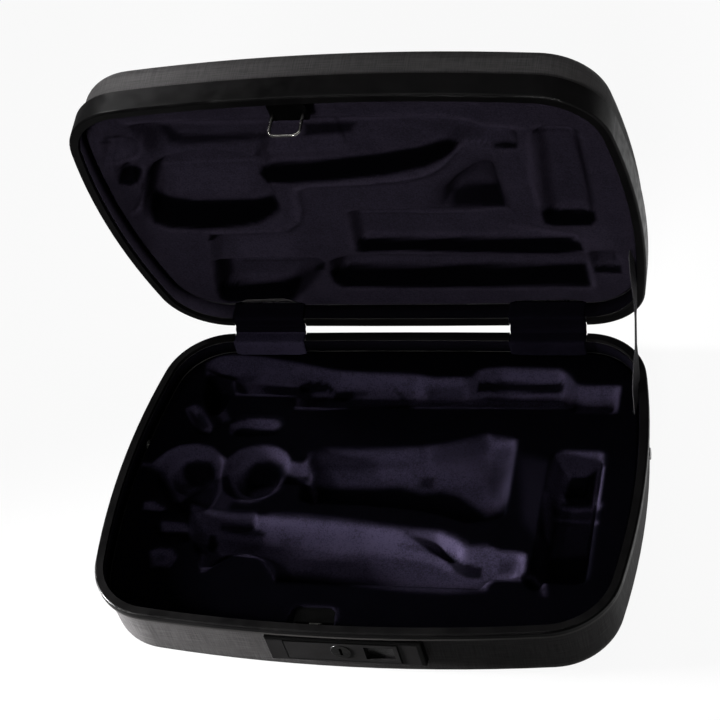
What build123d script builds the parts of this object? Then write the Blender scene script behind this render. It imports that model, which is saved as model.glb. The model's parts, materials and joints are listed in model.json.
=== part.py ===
from build123d import *
from math import acos, atan2, cos, degrees, hypot, pi, radians, sin, sqrt
import os

# A hard clarinet case, shown open. Millimetres.
# Origin: centre of the underside of the base. X runs along the length, -Y is the front
# (the lock), +Y the rear (the hinges), +Z up. Every lid piece is drawn in its closed
# place and then swung open about the hinge axis.

# ---- Overall sizes ---------------------------------------------------------
CASE_WIDTH = 325.0          # over the rims, left to right
CASE_DEPTH = 230.0          # over the rims, front to rear
BASE_HEIGHT = 45.5          # underside to the rim plane
LID_HEIGHT = 38.0           # rim plane to the top of the lid
RIM_GAP = 0.4               # between the two rims when closed
LID_OPEN_DEG = 79.0         # held there by the ribbon

# ---- Plan outline: tangent arcs, each turning by a set angle ----------------
REAR_CORNER_RADIUS = 40.4
FRONT_CORNER_RADIUS = 43.2
REAR_EDGE_TURN = radians(1.08)
REAR_CORNER_TURN = radians(78.6)
SIDE_TURN = radians(19.17)
FRONT_CORNER_TURN = radians(74.64)

# ---- Shells and rims --------------------------------------------------------
SHELL_INSET = 3.2           # the rims stand proud of the shells by this much
WALL = 2.2
FLOOR = 2.5                 # bottom of the base and top of the lid
BOTTOM_EDGE_RADIUS = 10.8
TOP_EDGE_RADIUS = 10.5
BASE_BAND = 5.0             # height of the base rim's outer band
LID_BAND = 15.0             # height of the lid rim's outer band
RIM_CAP = 2.5               # rim thickness over the edge of the shell
LIP_RADIUS = 1.3
INNER_INSET = SHELL_INSET + WALL

# ---- Linings ----------------------------------------------------------------
LINING_GAP = 0.7            # between a lining and the wall round it
BASE_LINING_DROP = 11.0     # from the base rim down to the plush
LID_LINING_DROP = 12.0      # from the lid rim up to the plush
LINING_INSET = INNER_INSET + LINING_GAP
SEAT = 0.05                 # a flat head or block against a slightly curved wall
LINING_EDGE_RADIUS = 1.6
BED_MARGIN = 1.5            # least wall between a bed and the lining's edge

# ---- Hinges -----------------------------------------------------------------
HINGE_AXIS_BEHIND = 2.0     # behind the rear of the rims
HINGE_FROM_SIDE = 71.5      # from the widest part of the rim to the middle of a hinge
HINGE_CENTRE_X = CASE_WIDTH / 2 - HINGE_FROM_SIDE
HINGE_LENGTH = 40.0
HINGE_MIDDLE = 14.4         # length of the lid's knuckle
KNUCKLE_GAP = 0.3
KNUCKLE_RADIUS = 1.7
PIN_RADIUS = 0.9
PIN_CLEARANCE = 0.05
LEAF = 1.2
LEAF_DROP = 12.0            # how far a leaf reaches along the wall
LEAF_WALL_GAP = 1.1         # the flat leaf lies against a slightly curved wall
HINGE_RIVET_RADIUS = 1.3
HINGE_RIVET_HEAD_RADIUS = 2.5
HINGE_RIVET_HEAD = 0.9
HINGE_RIVET_DROP = 7.5      # rim plane to rivet
HINGE_RIVET_SPREAD = 24.0

# ---- Plush flaps over the hinges, and the ribbon that holds the lid ----------
FLAP_WIDTH = 47.8
FLAP_THICKNESS = 0.8
FLAP_CLEAR = 0.15
FLAP_LID_SHORT = 1.15       # from the end of a flap to the plush of the lid
RELIEF_CLEAR = 0.6          # beside a flap, where it passes the rims
RIBBON_WIDTH = 10.0
RIBBON_THICKNESS = 0.8
RIBBON_FROM_SIDE = 13.7     # from the widest part of the rim
RIBBON_BASE_FROM_REAR = 44.0
RIBBON_LID_FROM_REAR = 61.0
RIBBON_END_LIFT = 4.0

# ---- Lock -------------------------------------------------------------------
LOCK_CENTRE_X = 3.8
LOCK_BELOW_RIM = 16.9       # rim plane down to the middle of the lock plate
LOCK_PLATE_LENGTH = 91.6
LOCK_PLATE_HEIGHT = 21.2
LOCK_PLATE_PROUD = 0.5      # in front of the rims
LOCK_EDGE_RADIUS = 0.6
PANEL_LEFT = -31.0
PANEL_RIGHT = 35.8
PANEL_HEIGHT = 17.0
PANEL_PROUD = 0.4           # in front of the plate
PANEL_THICKNESS = 1.4
PANEL_GROOVE = 0.35
WINDOW_LEFT = 15.7
WINDOW_RIGHT = 33.0
WINDOW_HEIGHT = 11.4
SLIDER_TRAVEL = 5.0
SLIDER_LAP = 1.0            # how far the thumb piece laps under the panel
SLIDER_BLOCK = 2.8
SLIDER_TAIL = 1.4
SLIDER_TAIL_LEFT = 1.2      # how far the tail reaches past the thumb piece
SLIDER_CLEAR = 0.2
SCOOP_DEPTH = 1.9
SCOOP_MARGIN = 0.4
CYLINDER_X = 1.8
CYLINDER_BELOW_RIM = 16.3
CYLINDER_RADIUS = 6.0
CYLINDER_BODY_RADIUS = 5.2
CYLINDER_PROUD = 0.3
CYLINDER_HEAD = 1.3
CYLINDER_EDGE_RADIUS = 0.4
CYLINDER_CLEARANCE = 0.05
KEYWAY_WIDTH = 1.6
KEYWAY_LENGTH = 6.4
KEYWAY_DEPTH = 3.0
SPINDLE_RADIUS = 2.0
SPINDLE_CLEARANCE = 0.02
CAM_REACH = 7.0             # spindle axis to the cam's blocking pin
CAM_THICKNESS = 1.4
CAM_WIDTH = 4.4
CAM_HUB_RADIUS = 3.4
CAM_PIN_RADIUS = 1.0
CAM_PIN_LENGTH = 2.3
CAM_BEFORE_LOOP = 2.6       # front of the cam to the rear of the catch loop

# ---- Lock housing and bolt, inside the front of the base --------------------
LOOP_FROM_FRONT = 13.0      # front of the rims to the plane of the catch loop
HOUSING_LEFT = -29.0
HOUSING_RIGHT = 24.0
HOUSING_REAR_FROM_FRONT = 31.0
HOUSING_WALL = 1.2
HOUSING_BELOW_RIM = 26.0    # rim plane down to the housing's underside
HOUSING_FLANGE_LEFT = -39.0
HOUSING_FLANGE_RIGHT = 47.0
HOUSING_COVER = 0.6
BRIDGE_BEHIND_TIP = 0.3     # bolt tip, drawn back, to the bridge it slides on
BRIDGE_THICKNESS = 2.0
LINING_OVER_HOUSING = 0.8
BOLT_WIDTH = 8.0
BOLT_THICKNESS = 1.4
BOLT_CLEAR = 0.1
BOLT_SHORT_OF_LOOP = 0.6    # bolt tip to loop, drawn back
BOLT_LENGTH = 17.0
BOLT_TIP_RADIUS = 1.2
BOLT_REAR_CLEAR = 2.0       # behind the housing, where the drawn bolt comes out
DRIVE_PIN_RADIUS = 1.25
DRIVE_PIN_BACK = 9.4        # bolt tip to drive pin
DRIVE_PIN_DROP = 3.2
DRIVE_SLOT_CLEAR = 0.15
DRIVE_PLATE = 1.4
DRIVE_PLATE_MARGIN = 2.6
DRIVE_BELOW_BOLT = 1.3
DRIVE_CLEAR = 0.25
RISER_LEFT = 16.0
RISER_WIDTH = 3.0
TAB_LEFT = 10.2
TAB_WIDTH = 1.5
TAB_REACH = 2.3
TAB_ROOT = 1.0
TAB_DROP = 2.4
LOCK_SCREW_RADIUS = 1.2
LOCK_SCREW_HEAD_RADIUS = 2.2
LOCK_SCREW_HEAD = 1.1
SCREW_RELIEF = 0.3          # between the lining and a screw head
LOCK_SCREW_LENGTH = 3.4
LOCK_SCREW_TIP_CLEAR = 0.2
LOCK_SCREW_X = (-36.0, 44.0)
LOCK_SCREW_OFFSETS_Z = (-6.0, 2.3)    # from the middle of the plate

# ---- Catch on the lid -------------------------------------------------------
CATCH_CENTRE_X = -15.9
CATCH_BLOCK_WIDTH = 22.0
CATCH_BLOCK_DEPTH = 13.7
CATCH_BLOCK_ABOVE_RIM = 0.3
CATCH_BLOCK_INTO_LINING = 5.0
CATCH_EDGE_RADIUS = 1.2
LOOP_WIDTH = 19.4           # over the wire
LOOP_WIRE_RADIUS = 0.9
LOOP_REACH = 16.2           # lid rim plane to the far side of the loop
LOOP_CORNER_RADIUS = 4.0
LOOP_ROOT = 7.0             # how far the legs go into the block
CATCH_SCREW_RADIUS = 1.5
CATCH_SCREW_HEAD_RADIUS = 2.7
CATCH_SCREW_HEAD = 0.6
CATCH_SCREW_SPREAD = 13.0
CATCH_SCREW_ABOVE_CAP = 5.0
CATCH_SCREW_INTO_WALL = 3.6
NOTCH_LEFT = -31.0
NOTCH_RIGHT = -4.0
NOTCH_FROM_FRONT = 26.0
NOTCH_CORNER_RADIUS = 9.0

# ---- Shoulder strap studs ---------------------------------------------------
STUD_Y = 29.5
STUD_BELOW_RIM = 13.6
STUD_FLANGE_RADIUS = 4.4
STUD_FLANGE = 0.6
STUD_NECK_RADIUS = 1.8
STUD_NECK = 1.3
STUD_HEAD_RADIUS = 3.7
STUD_HEAD = 1.2
STUD_WASHER_RADIUS = 4.0
STUD_WASHER = 0.8
STUD_PEEN = 0.2             # the shank's end past its washer
STUD_CLEARANCE = 0.02
STUD_RELIEF = 1.0

# ---- Pockets: outline points in X, Y, corner radius, depth below the plush ----
BASE_POCKETS = {
    "lower_joint": (
        [(-135, 97), (-128, 103), (-96, 103), (-59, 95), (-40, 91.5), (2, 91.5), (17, 86), (41, 86),
         (50, 95), (99, 95), (112, 81), (139, 80.6), (139, 58), (112, 58), (110, 61.5), (-64, 60),
         (-66, 70.5), (-108, 71), (-114, 81), (-130, 83)], 2.0, 18.0),
    "brush_slot": ([(-139, 60), (-131, 64), (-115, 42), (-122, 39)], 2.5, 10.0),
    "ligature_rest": ([(-105, 49.5), (-69, 49.5), (-69, 38), (-105, 38)], 5.0, 9.0),
    "bell": (
        [(-44, 27), (0, 27.5), (28, 30), (62, 40.5), (80, 37), (80, -23), (62, -26.5), (28, -16),
         (0, -13.5), (-44, -13)], 4.0, 24.0),
    "bell_neck": ([(-62, 13.5), (-40, 13.5), (-40, 1), (-62, 1)], 1.5, 12.0),
    "mouthpiece": ([(104, 29), (136, 29), (136, -66), (104, -66)], 5.0, 20.0),
    "upper_joint": (
        [(-115, -18), (-59, -21), (-59, -27), (0, -30), (45, -36), (62, -44), (98, -45.5), (98, -65),
         (80, -68), (78, -74), (-46, -74), (-51, -62), (-60, -55.5), (-84, -55.5), (-90, -62),
         (-97, -50), (-115, -46)], 2.0, 18.0),
    "joint_finger": ([(-130, -32), (-112, -32), (-112, -41), (-130, -41)], 2.0, 9.0),
    "reed_hollow": ([(-130, -51), (-112, -51), (-112, -66), (-130, -66)], 5.0, 6.0),
    "cork_hollow": ([(-145, -18), (-129, -18), (-129, -25), (-145, -25)], 2.5, 5.0),
}
BARREL_WELLS = [(-122.0, 7.5, 19.0), (-79.0, 7.0, 20.5)]    # centre X, centre Y, mouth radius
WELL_MOUTH_DEPTH = 9.0
WELL_RADIUS = 14.5
WELL_DEPTH = 27.0
LID_POCKETS = {
    "rear_left": ([(-122, 102), (-78, 105), (-62, 87), (-42, 59), (-44, 56), (-112, 56), (-118, 75)],
                  2.0, 17.0),
    "rear_long": ([(-41, 87), (121, 88), (121, 63), (-25, 61), (-38, 65)], 2.0, 17.0),
    "rear_end": ([(124, 74), (141, 74), (141, 52), (124, 52)], 2.0, 7.0),
    "bell": ([(-18, 48), (122, 50), (120, 34), (102, 28), (83, 17), (83, -50), (73, -45), (58, -27),
              (45, -12), (45, 7), (-13, 6)], 3.0, 12.0),
    "barrels_and_upper_joint": (
        [(-132, 24), (-57, 25), (-42, 12), (-39, -16), (28, -22), (43, -27), (58, -38), (69, -56),
         (101, -57), (101, -66), (84, -68), (67, -78), (0, -82), (-108, -82), (-118, -50),
         (-130, -20), (-141, -8), (-141, 16)], 4.0, 18.0),
    "mouthpiece": ([(104, 24), (133, 24), (133, -66), (107, -66)], 4.0, 12.0),
    "side_hollow": ([(-145, -25), (-136, -25), (-127, -42), (-138, -44)], 2.5, 9.0),
}

HALF_DEPTH = CASE_DEPTH / 2
FRONT_Y = -HALF_DEPTH
RIM_Z = BASE_HEIGHT
LID_RIM_Z = BASE_HEIGHT + RIM_GAP
LID_TOP_Z = LID_RIM_Z + LID_HEIGHT
BASE_PLUSH_Z = RIM_Z - BASE_LINING_DROP
LID_PLUSH_Z = LID_RIM_Z + LID_LINING_DROP
HINGE_Y = HALF_DEPTH + HINGE_AXIS_BEHIND
HINGE_Z = RIM_Z + RIM_GAP / 2
HINGE_AXIS = Axis((0, HINGE_Y, HINGE_Z), (1, 0, 0))
RIBBON_X = CASE_WIDTH / 2 - RIBBON_FROM_SIDE
LOCK_CENTRE_Z = RIM_Z - LOCK_BELOW_RIM
CYLINDER_Z = RIM_Z - CYLINDER_BELOW_RIM
HOUSING_FLOOR_Z = RIM_Z - HOUSING_BELOW_RIM
LOCK_SCREW_Z = [LOCK_CENTRE_Z + offset for offset in LOCK_SCREW_OFFSETS_Z]
STUD_Z = RIM_Z - STUD_BELOW_RIM


# ---- Outline ----------------------------------------------------------------
def outline_stretches():
    """Radius and start and end heading of the right half's five arcs, rear to front."""
    h1 = REAR_EDGE_TURN
    h2 = h1 + REAR_CORNER_TURN
    h3 = h2 + SIDE_TURN
    h4 = h3 + FRONT_CORNER_TURN
    s1, s2, s3, s4 = sin(h1), sin(h2), sin(h3), sin(h4)
    c1, c2, c3, c4 = cos(h1), cos(h2), cos(h3), cos(h4)
    close = (1 + c4) / s4
    a, b = s1, 1 - s2
    c = (1 - c1) + close * s1
    d = (c2 - c3) + close * (s3 - s2)
    corners = REAR_CORNER_RADIUS * (s2 - s1)
    right = CASE_WIDTH / 2 - corners
    down = (CASE_DEPTH - REAR_CORNER_RADIUS * (c1 - c2) - FRONT_CORNER_RADIUS * (c3 - c4)
            - close * (corners + FRONT_CORNER_RADIUS * (s4 - s3)))
    rear = (right * d - b * down) / (a * d - b * c)
    side = (a * down - c * right) / (a * d - b * c)
    front = (rear * s1 + corners + side * (s3 - s2) + FRONT_CORNER_RADIUS * (s4 - s3)) / s4
    return [(rear, 0.0, h1), (REAR_CORNER_RADIUS, h1, h2), (side, h2, h3),
            (FRONT_CORNER_RADIUS, h3, h4), (front, h4, pi)]


def outline_points(inset):
    """Start, middle and end point of each arc of the right half, drawn in by inset."""
    x, y = 0.0, HALF_DEPTH - inset
    arcs = []
    for radius, start, end in outline_stretches():
        radius -= inset
        middle = (start + end) / 2
        points = [(x + radius * (sin(h) - sin(start)), y - radius * (cos(start) - cos(h)))
                  for h in (start, middle, end)]
        arcs.append(points)
        x, y = points[-1]
    return arcs


def outline(inset, z=0.0):
    """The case's outline as a flat face, drawn in by inset."""
    arcs = outline_points(inset)
    rear_end = arcs[0][2]
    front_start = arcs[4][0]
    edges = [ThreePointArc((-rear_end[0], rear_end[1]), arcs[0][0], rear_end)]
    edges += [ThreePointArc(*points) for points in arcs[1:4]]
    edges.append(ThreePointArc(front_start, (0, arcs[4][2][1]), (-front_start[0], front_start[1])))
    for points in reversed(arcs[1:4]):
        edges.append(ThreePointArc(*[(-px, py) for px, py in reversed(points)]))
    return Pos(0, 0, z) * Face(Wire(edges))


def raise_up(face, height):
    return extrude(face, height, dir=(0, 0, 1))


def slab(inset, z0, z1):
    return raise_up(outline(inset, z0), z1 - z0)


def ring(outer_inset, inner_inset, z0, z1):
    return slab(outer_inset, z0, z1) - slab(inner_inset, z0, z1)


def rear_y(x, inset):
    """Y of the rear edge at x, drawn in by inset."""
    radius = outline_stretches()[0][0] - inset
    return HALF_DEPTH - inset - (radius - sqrt(radius ** 2 - x ** 2))


def front_y(x, inset):
    """Y of the front edge at x, drawn in by inset."""
    radius = outline_stretches()[4][0] - inset
    return -HALF_DEPTH + inset + (radius - sqrt(radius ** 2 - x ** 2))


def side_point(y):
    """Point of the right-hand wall at that Y, and its outward heading in degrees."""
    radius, start, end = outline_stretches()[2]
    x0, y0 = outline_points(0.0)[2][0]
    heading = acos(cos(start) - (y0 - y) / radius)
    x = x0 + radius * (sin(heading) - sin(start))
    return x, 90 - degrees(heading)


def block(x0, x1, y0, y1, z0, z1):
    return Pos((x0 + x1) / 2, (y0 + y1) / 2, (z0 + z1) / 2) * Box(x1 - x0, y1 - y0, z1 - z0)


def rod_y(x, z, y0, y1, radius):
    """A round rod along Y."""
    return Pos(x, (y0 + y1) / 2, z) * Rot(90, 0, 0) * Cylinder(radius, y1 - y0)


def rod_x(x0, x1, y, z, radius):
    """A round rod along X."""
    return Pos((x0 + x1) / 2, y, z) * Rot(0, 90, 0) * Cylinder(radius, x1 - x0)


def rounded_face(points, radius, z):
    return Pos(0, 0, z) * Face(Wire(FilletPolyline(*points, radius=radius, close=True).edges()))


def lowest(solid):
    return solid.edges().group_by(Axis.Z)[0]


def highest(solid):
    return solid.edges().group_by(Axis.Z)[-1]


def swing_open(part):
    """Moves a lid piece from its closed place to the open one."""
    return part.rotate(HINGE_AXIS, -LID_OPEN_DEG)


def open_point(x, y, z):
    """Where a point of the closed lid is when the lid is open."""
    c, s = cos(radians(LID_OPEN_DEG)), sin(radians(LID_OPEN_DEG))
    dy, dz = y - HINGE_Y, z - HINGE_Z
    return x, HINGE_Y + dy * c + dz * s, HINGE_Z - dy * s + dz * c


# ---- Base -------------------------------------------------------------------
def lock_plate_block(y0, y1):
    """A block as long and high as the lock plate, from y0 to y1."""
    half_length, half_height = LOCK_PLATE_LENGTH / 2, LOCK_PLATE_HEIGHT / 2
    return block(LOCK_CENTRE_X - half_length, LOCK_CENTRE_X + half_length, y0, y1,
                 LOCK_CENTRE_Z - half_height, LOCK_CENTRE_Z + half_height)


def rivet_hole(x, z):
    """A hinge rivet's hole through the rear wall and whatever covers it."""
    return rod_y(x, z, HALF_DEPTH - 2 * INNER_INSET, HINGE_Y, HINGE_RIVET_RADIUS)


def make_base_shell():
    outer = fillet(lowest(slab(SHELL_INSET, 0, RIM_Z - RIM_CAP)), BOTTOM_EDGE_RADIUS)
    inner = fillet(lowest(slab(INNER_INSET, FLOOR, RIM_Z)), BOTTOM_EDGE_RADIUS - WALL)
    shell = outer - inner - lock_plate_block(FRONT_Y, FRONT_Y + 2 * INNER_INSET)
    for side in (-1, 1):
        shell -= stud_hole(side)
        for x in hinge_rivet_xs(side):
            shell -= rivet_hole(x, RIM_Z - HINGE_RIVET_DROP)
    return shell


def hinge_relief(side, z0, z1):
    """The gap in the rear of a rim that lets the hinge leaf and its plush flap through."""
    half = FLAP_WIDTH / 2 + RELIEF_CLEAR
    x = side * HINGE_CENTRE_X
    return block(x - half, x + half, HALF_DEPTH - 2 * INNER_INSET, HINGE_Y, z0, z1)


def make_base_rim():
    band = ring(0, SHELL_INSET, RIM_Z - BASE_BAND, RIM_Z)
    cap = ring(SHELL_INSET, INNER_INSET, RIM_Z - RIM_CAP, RIM_Z)
    outer_lip = slab(0, RIM_Z - BASE_BAND, RIM_Z)
    outer_lip = fillet(highest(outer_lip), LIP_RADIUS)
    rim = (band + cap) & outer_lip
    for side in (-1, 1):
        rim -= hinge_relief(side, RIM_Z - RIM_CAP, RIM_Z)
    return rim


def housing_space():
    """The hollow in the front of the base lining that holds the lock housing."""
    rear = FRONT_Y + HOUSING_REAR_FROM_FRONT
    body = block(HOUSING_LEFT - LINING_GAP, HOUSING_RIGHT + LINING_GAP, FRONT_Y, rear + BOLT_REAR_CLEAR,
                 HOUSING_FLOOR_Z - LINING_GAP, BASE_PLUSH_Z - LINING_OVER_HOUSING)
    flange = block(HOUSING_FLANGE_LEFT - LINING_GAP, HOUSING_FLANGE_RIGHT + LINING_GAP, FRONT_Y,
                   FRONT_Y + INNER_INSET + HOUSING_WALL + LOCK_SCREW_HEAD + LINING_GAP,
                   HOUSING_FLOOR_Z - LINING_GAP, BASE_PLUSH_Z - LINING_OVER_HOUSING)
    space = body + flange
    space += rod_y(CYLINDER_X, CYLINDER_Z, FRONT_Y, CAM_Y + CAM_THICKNESS + LINING_GAP,
                   CAM_HUB_RADIUS + LINING_GAP)
    for x in LOCK_SCREW_X:
        for z in LOCK_SCREW_Z:
            space += rod_y(x, z, FRONT_Y, FRONT_Y + INNER_INSET + HOUSING_WALL + LOCK_SCREW_HEAD,
                           LOCK_SCREW_HEAD_RADIUS + SCREW_RELIEF)
    return space


def make_base_lining():
    body = slab(LINING_INSET, FLOOR, BASE_PLUSH_Z)
    body = fillet(lowest(body), BOTTOM_EDGE_RADIUS - WALL)
    body = fillet(highest(body), LINING_EDGE_RADIUS)
    bed_limit = slab(LINING_INSET + BED_MARGIN, 0, BASE_PLUSH_Z + 1)
    for points, radius, depth in BASE_POCKETS.values():
        face = rounded_face(points, radius, BASE_PLUSH_Z - depth)
        body -= raise_up(face, depth + 1) & bed_limit
    for x, y, mouth in BARREL_WELLS:
        well = Pos(x, y, BASE_PLUSH_Z - WELL_MOUTH_DEPTH / 2 + 1) * Cylinder(mouth, WELL_MOUTH_DEPTH + 2)
        well += Pos(x, y, BASE_PLUSH_Z - WELL_DEPTH / 2) * Cylinder(WELL_RADIUS, WELL_DEPTH)
        body -= well & bed_limit
    notch = block(NOTCH_LEFT, NOTCH_RIGHT, FRONT_Y, FRONT_Y + NOTCH_FROM_FRONT,
                  HOUSING_FLOOR_Z - LINING_GAP, BASE_PLUSH_Z + 1)
    rear_corners = notch.edges().filter_by(Axis.Z).group_by(Axis.Y)[-1]
    body -= fillet(rear_corners, NOTCH_CORNER_RADIUS)
    body -= housing_space()
    for side in (-1, 1):
        x = side * HINGE_CENTRE_X
        half = HINGE_LENGTH / 2 + LINING_GAP
        body -= block(x - half, x + half, HALF_DEPTH - INNER_INSET - LEAF_WALL_GAP - LEAF - HINGE_RIVET_HEAD,
                      HALF_DEPTH, RIM_Z - LEAF_DROP - RIM_CAP - LINING_GAP, RIM_Z)
        body -= stud_part(side, 0, STUD_WASHER + STUD_RELIEF, STUD_WASHER_RADIUS + STUD_RELIEF)
    return body


# ---- Lid, drawn closed ------------------------------------------------------
def make_lid_shell():
    outer = fillet(highest(slab(SHELL_INSET, LID_RIM_Z + RIM_CAP, LID_TOP_Z)), TOP_EDGE_RADIUS)
    inner = fillet(highest(slab(INNER_INSET, LID_RIM_Z, LID_TOP_Z - FLOOR)), TOP_EDGE_RADIUS - WALL)
    shell = outer - inner
    for side in (-1, 1):
        for x in hinge_rivet_xs(side):
            shell -= rivet_hole(x, LID_RIM_Z + HINGE_RIVET_DROP)
    for x in catch_screw_xs():
        shell -= catch_screw_hole(x)
    return swing_open(shell)


def make_lid_rim():
    band = ring(0, SHELL_INSET, LID_RIM_Z, LID_RIM_Z + LID_BAND)
    cap = ring(SHELL_INSET, INNER_INSET, LID_RIM_Z, LID_RIM_Z + RIM_CAP)
    outer_lip = fillet(lowest(slab(0, LID_RIM_Z, LID_RIM_Z + LID_BAND)), LIP_RADIUS)
    rim = (band + cap) & outer_lip
    for side in (-1, 1):
        rim -= hinge_relief(side, LID_RIM_Z, LID_RIM_Z + RIM_CAP)
        for x in hinge_rivet_xs(side):
            rim -= rivet_hole(x, LID_RIM_Z + HINGE_RIVET_DROP)
    for x in catch_screw_xs():
        rim -= catch_screw_hole(x)
    return swing_open(rim)


def make_lid_lining():
    body = slab(LINING_INSET, LID_PLUSH_Z, LID_TOP_Z - FLOOR)
    body = fillet(highest(body), TOP_EDGE_RADIUS - WALL)
    body = fillet(lowest(body), LINING_EDGE_RADIUS)
    bed_limit = slab(LINING_INSET + BED_MARGIN, LID_PLUSH_Z - 1, LID_TOP_Z)
    for points, radius, depth in LID_POCKETS.values():
        face = rounded_face(points, radius, LID_PLUSH_Z - 1)
        body -= raise_up(face, depth + 1) & bed_limit
    half = CATCH_BLOCK_WIDTH / 2 + LINING_GAP
    body -= block(CATCH_CENTRE_X - half, CATCH_CENTRE_X + half, FRONT_Y,
                  catch_front_y() + CATCH_BLOCK_DEPTH + LINING_GAP,
                  LID_PLUSH_Z - 1, LID_PLUSH_Z + CATCH_BLOCK_INTO_LINING + LINING_GAP)
    for side in (-1, 1):
        x = side * HINGE_CENTRE_X
        half = HINGE_LENGTH / 2 + LINING_GAP
        body -= block(x - half, x + half, HALF_DEPTH - INNER_INSET - LEAF_WALL_GAP - LEAF - HINGE_RIVET_HEAD,
                      HALF_DEPTH, LID_RIM_Z, LID_RIM_Z + LEAF_DROP + RIM_CAP + LINING_GAP)
    return swing_open(body)


# ---- Hinges -----------------------------------------------------------------
def hinge_rivet_xs(side):
    half = HINGE_RIVET_SPREAD / 2
    return [side * HINGE_CENTRE_X - half, side * HINGE_CENTRE_X + half]


def knuckle(x0, x1):
    outer = rod_x(x0, x1, HINGE_Y, HINGE_Z, KNUCKLE_RADIUS)
    return outer - rod_x(x0, x1, HINGE_Y, HINGE_Z, PIN_RADIUS + PIN_CLEARANCE)


def hinge_leaf(side, knuckles):
    """A leaf as it lies in the base: knuckles, a tongue over the wall and a leg down its inside."""
    centre = side * HINGE_CENTRE_X
    x0, x1 = centre - HINGE_LENGTH / 2, centre + HINGE_LENGTH / 2
    wall_y = HALF_DEPTH - INNER_INSET - LEAF_WALL_GAP
    tongue_z = RIM_Z - RIM_CAP
    tongue = block(x0, x1, wall_y - LEAF, HALF_DEPTH, tongue_z, tongue_z + LEAF)
    leg = block(x0, x1, wall_y - LEAF, wall_y, tongue_z - LEAF_DROP, tongue_z)
    leaf = tongue + leg
    bore = rod_x(x0, x1, HINGE_Y, HINGE_Z, PIN_RADIUS + PIN_CLEARANCE)
    for a, b in knuckles:
        web = block(centre + a, centre + b, HALF_DEPTH, HINGE_Y, tongue_z, tongue_z + LEAF)
        leaf += (web + knuckle(centre + a, centre + b)) - bore
    for x in hinge_rivet_xs(side):
        leaf -= rod_y(x, RIM_Z - HINGE_RIVET_DROP, wall_y - 2 * LEAF, wall_y + LEAF, HINGE_RIVET_RADIUS)
    return leaf


def make_base_leaf(side):
    end = HINGE_LENGTH / 2
    inner = HINGE_MIDDLE / 2 + KNUCKLE_GAP
    return hinge_leaf(side, [(-end, -inner), (inner, end)])


def make_lid_leaf(side):
    """The lid's leaf: the base's turned over, with the middle knuckle."""
    middle = HINGE_MIDDLE / 2
    leaf = hinge_leaf(side, [(-middle, middle)])
    return swing_open(leaf.mirror(Plane.XY.offset(HINGE_Z)))


def make_hinge_pin(side):
    x = side * HINGE_CENTRE_X
    return rod_x(x - HINGE_LENGTH / 2, x + HINGE_LENGTH / 2, HINGE_Y, HINGE_Z, PIN_RADIUS)


def hinge_rivet(x, z, outside_y):
    """Shank from the leaf to the outside of the wall, with a flat head at each end."""
    inside_y = HALF_DEPTH - INNER_INSET - LEAF_WALL_GAP - LEAF
    shank = rod_y(x, z, inside_y, outside_y, HINGE_RIVET_RADIUS)
    inner = rod_y(x, z, inside_y - HINGE_RIVET_HEAD, inside_y, HINGE_RIVET_HEAD_RADIUS)
    outer = rod_y(x, z, outside_y, outside_y + SEAT + HINGE_RIVET_HEAD, HINGE_RIVET_HEAD_RADIUS)
    seat_gap = rod_y(x, z, outside_y, outside_y + SEAT, HINGE_RIVET_HEAD_RADIUS)
    return shank + inner + (outer - seat_gap) + rod_y(x, z, outside_y, outside_y + SEAT, HINGE_RIVET_RADIUS)


def make_hinge_base_rivets():
    rivets = []
    for side in (-1, 1):
        for x in hinge_rivet_xs(side):
            rivets.append(hinge_rivet(x, RIM_Z - HINGE_RIVET_DROP, rear_y(x, SHELL_INSET)))
    return Compound(rivets)


def make_hinge_lid_rivets():
    rivets = []
    for side in (-1, 1):
        for x in hinge_rivet_xs(side):
            rivets.append(swing_open(hinge_rivet(x, LID_RIM_Z + HINGE_RIVET_DROP, rear_y(x, 0))))
    return Compound(rivets)


# ---- Soft parts that bridge base and lid -------------------------------------
def flap_half(side, end_z):
    """Half of a plush flap, from end_z up the inside of the wall and over the hinge leaf."""
    x = side * HINGE_CENTRE_X
    x0, x1 = x - FLAP_WIDTH / 2, x + FLAP_WIDTH / 2
    face_y = HALF_DEPTH - INNER_INSET - LEAF_WALL_GAP - LEAF - HINGE_RIVET_HEAD - FLAP_CLEAR
    over_z = RIM_Z - RIM_CAP + LEAF + FLAP_CLEAR
    up = block(x0, x1, face_y - FLAP_THICKNESS, face_y, end_z, over_z + FLAP_THICKNESS)
    over = block(x0, x1, face_y, flap_turn_y(), over_z, over_z + FLAP_THICKNESS)
    return up + over


def flap_turn_y():
    return HALF_DEPTH - FLAP_CLEAR


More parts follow.
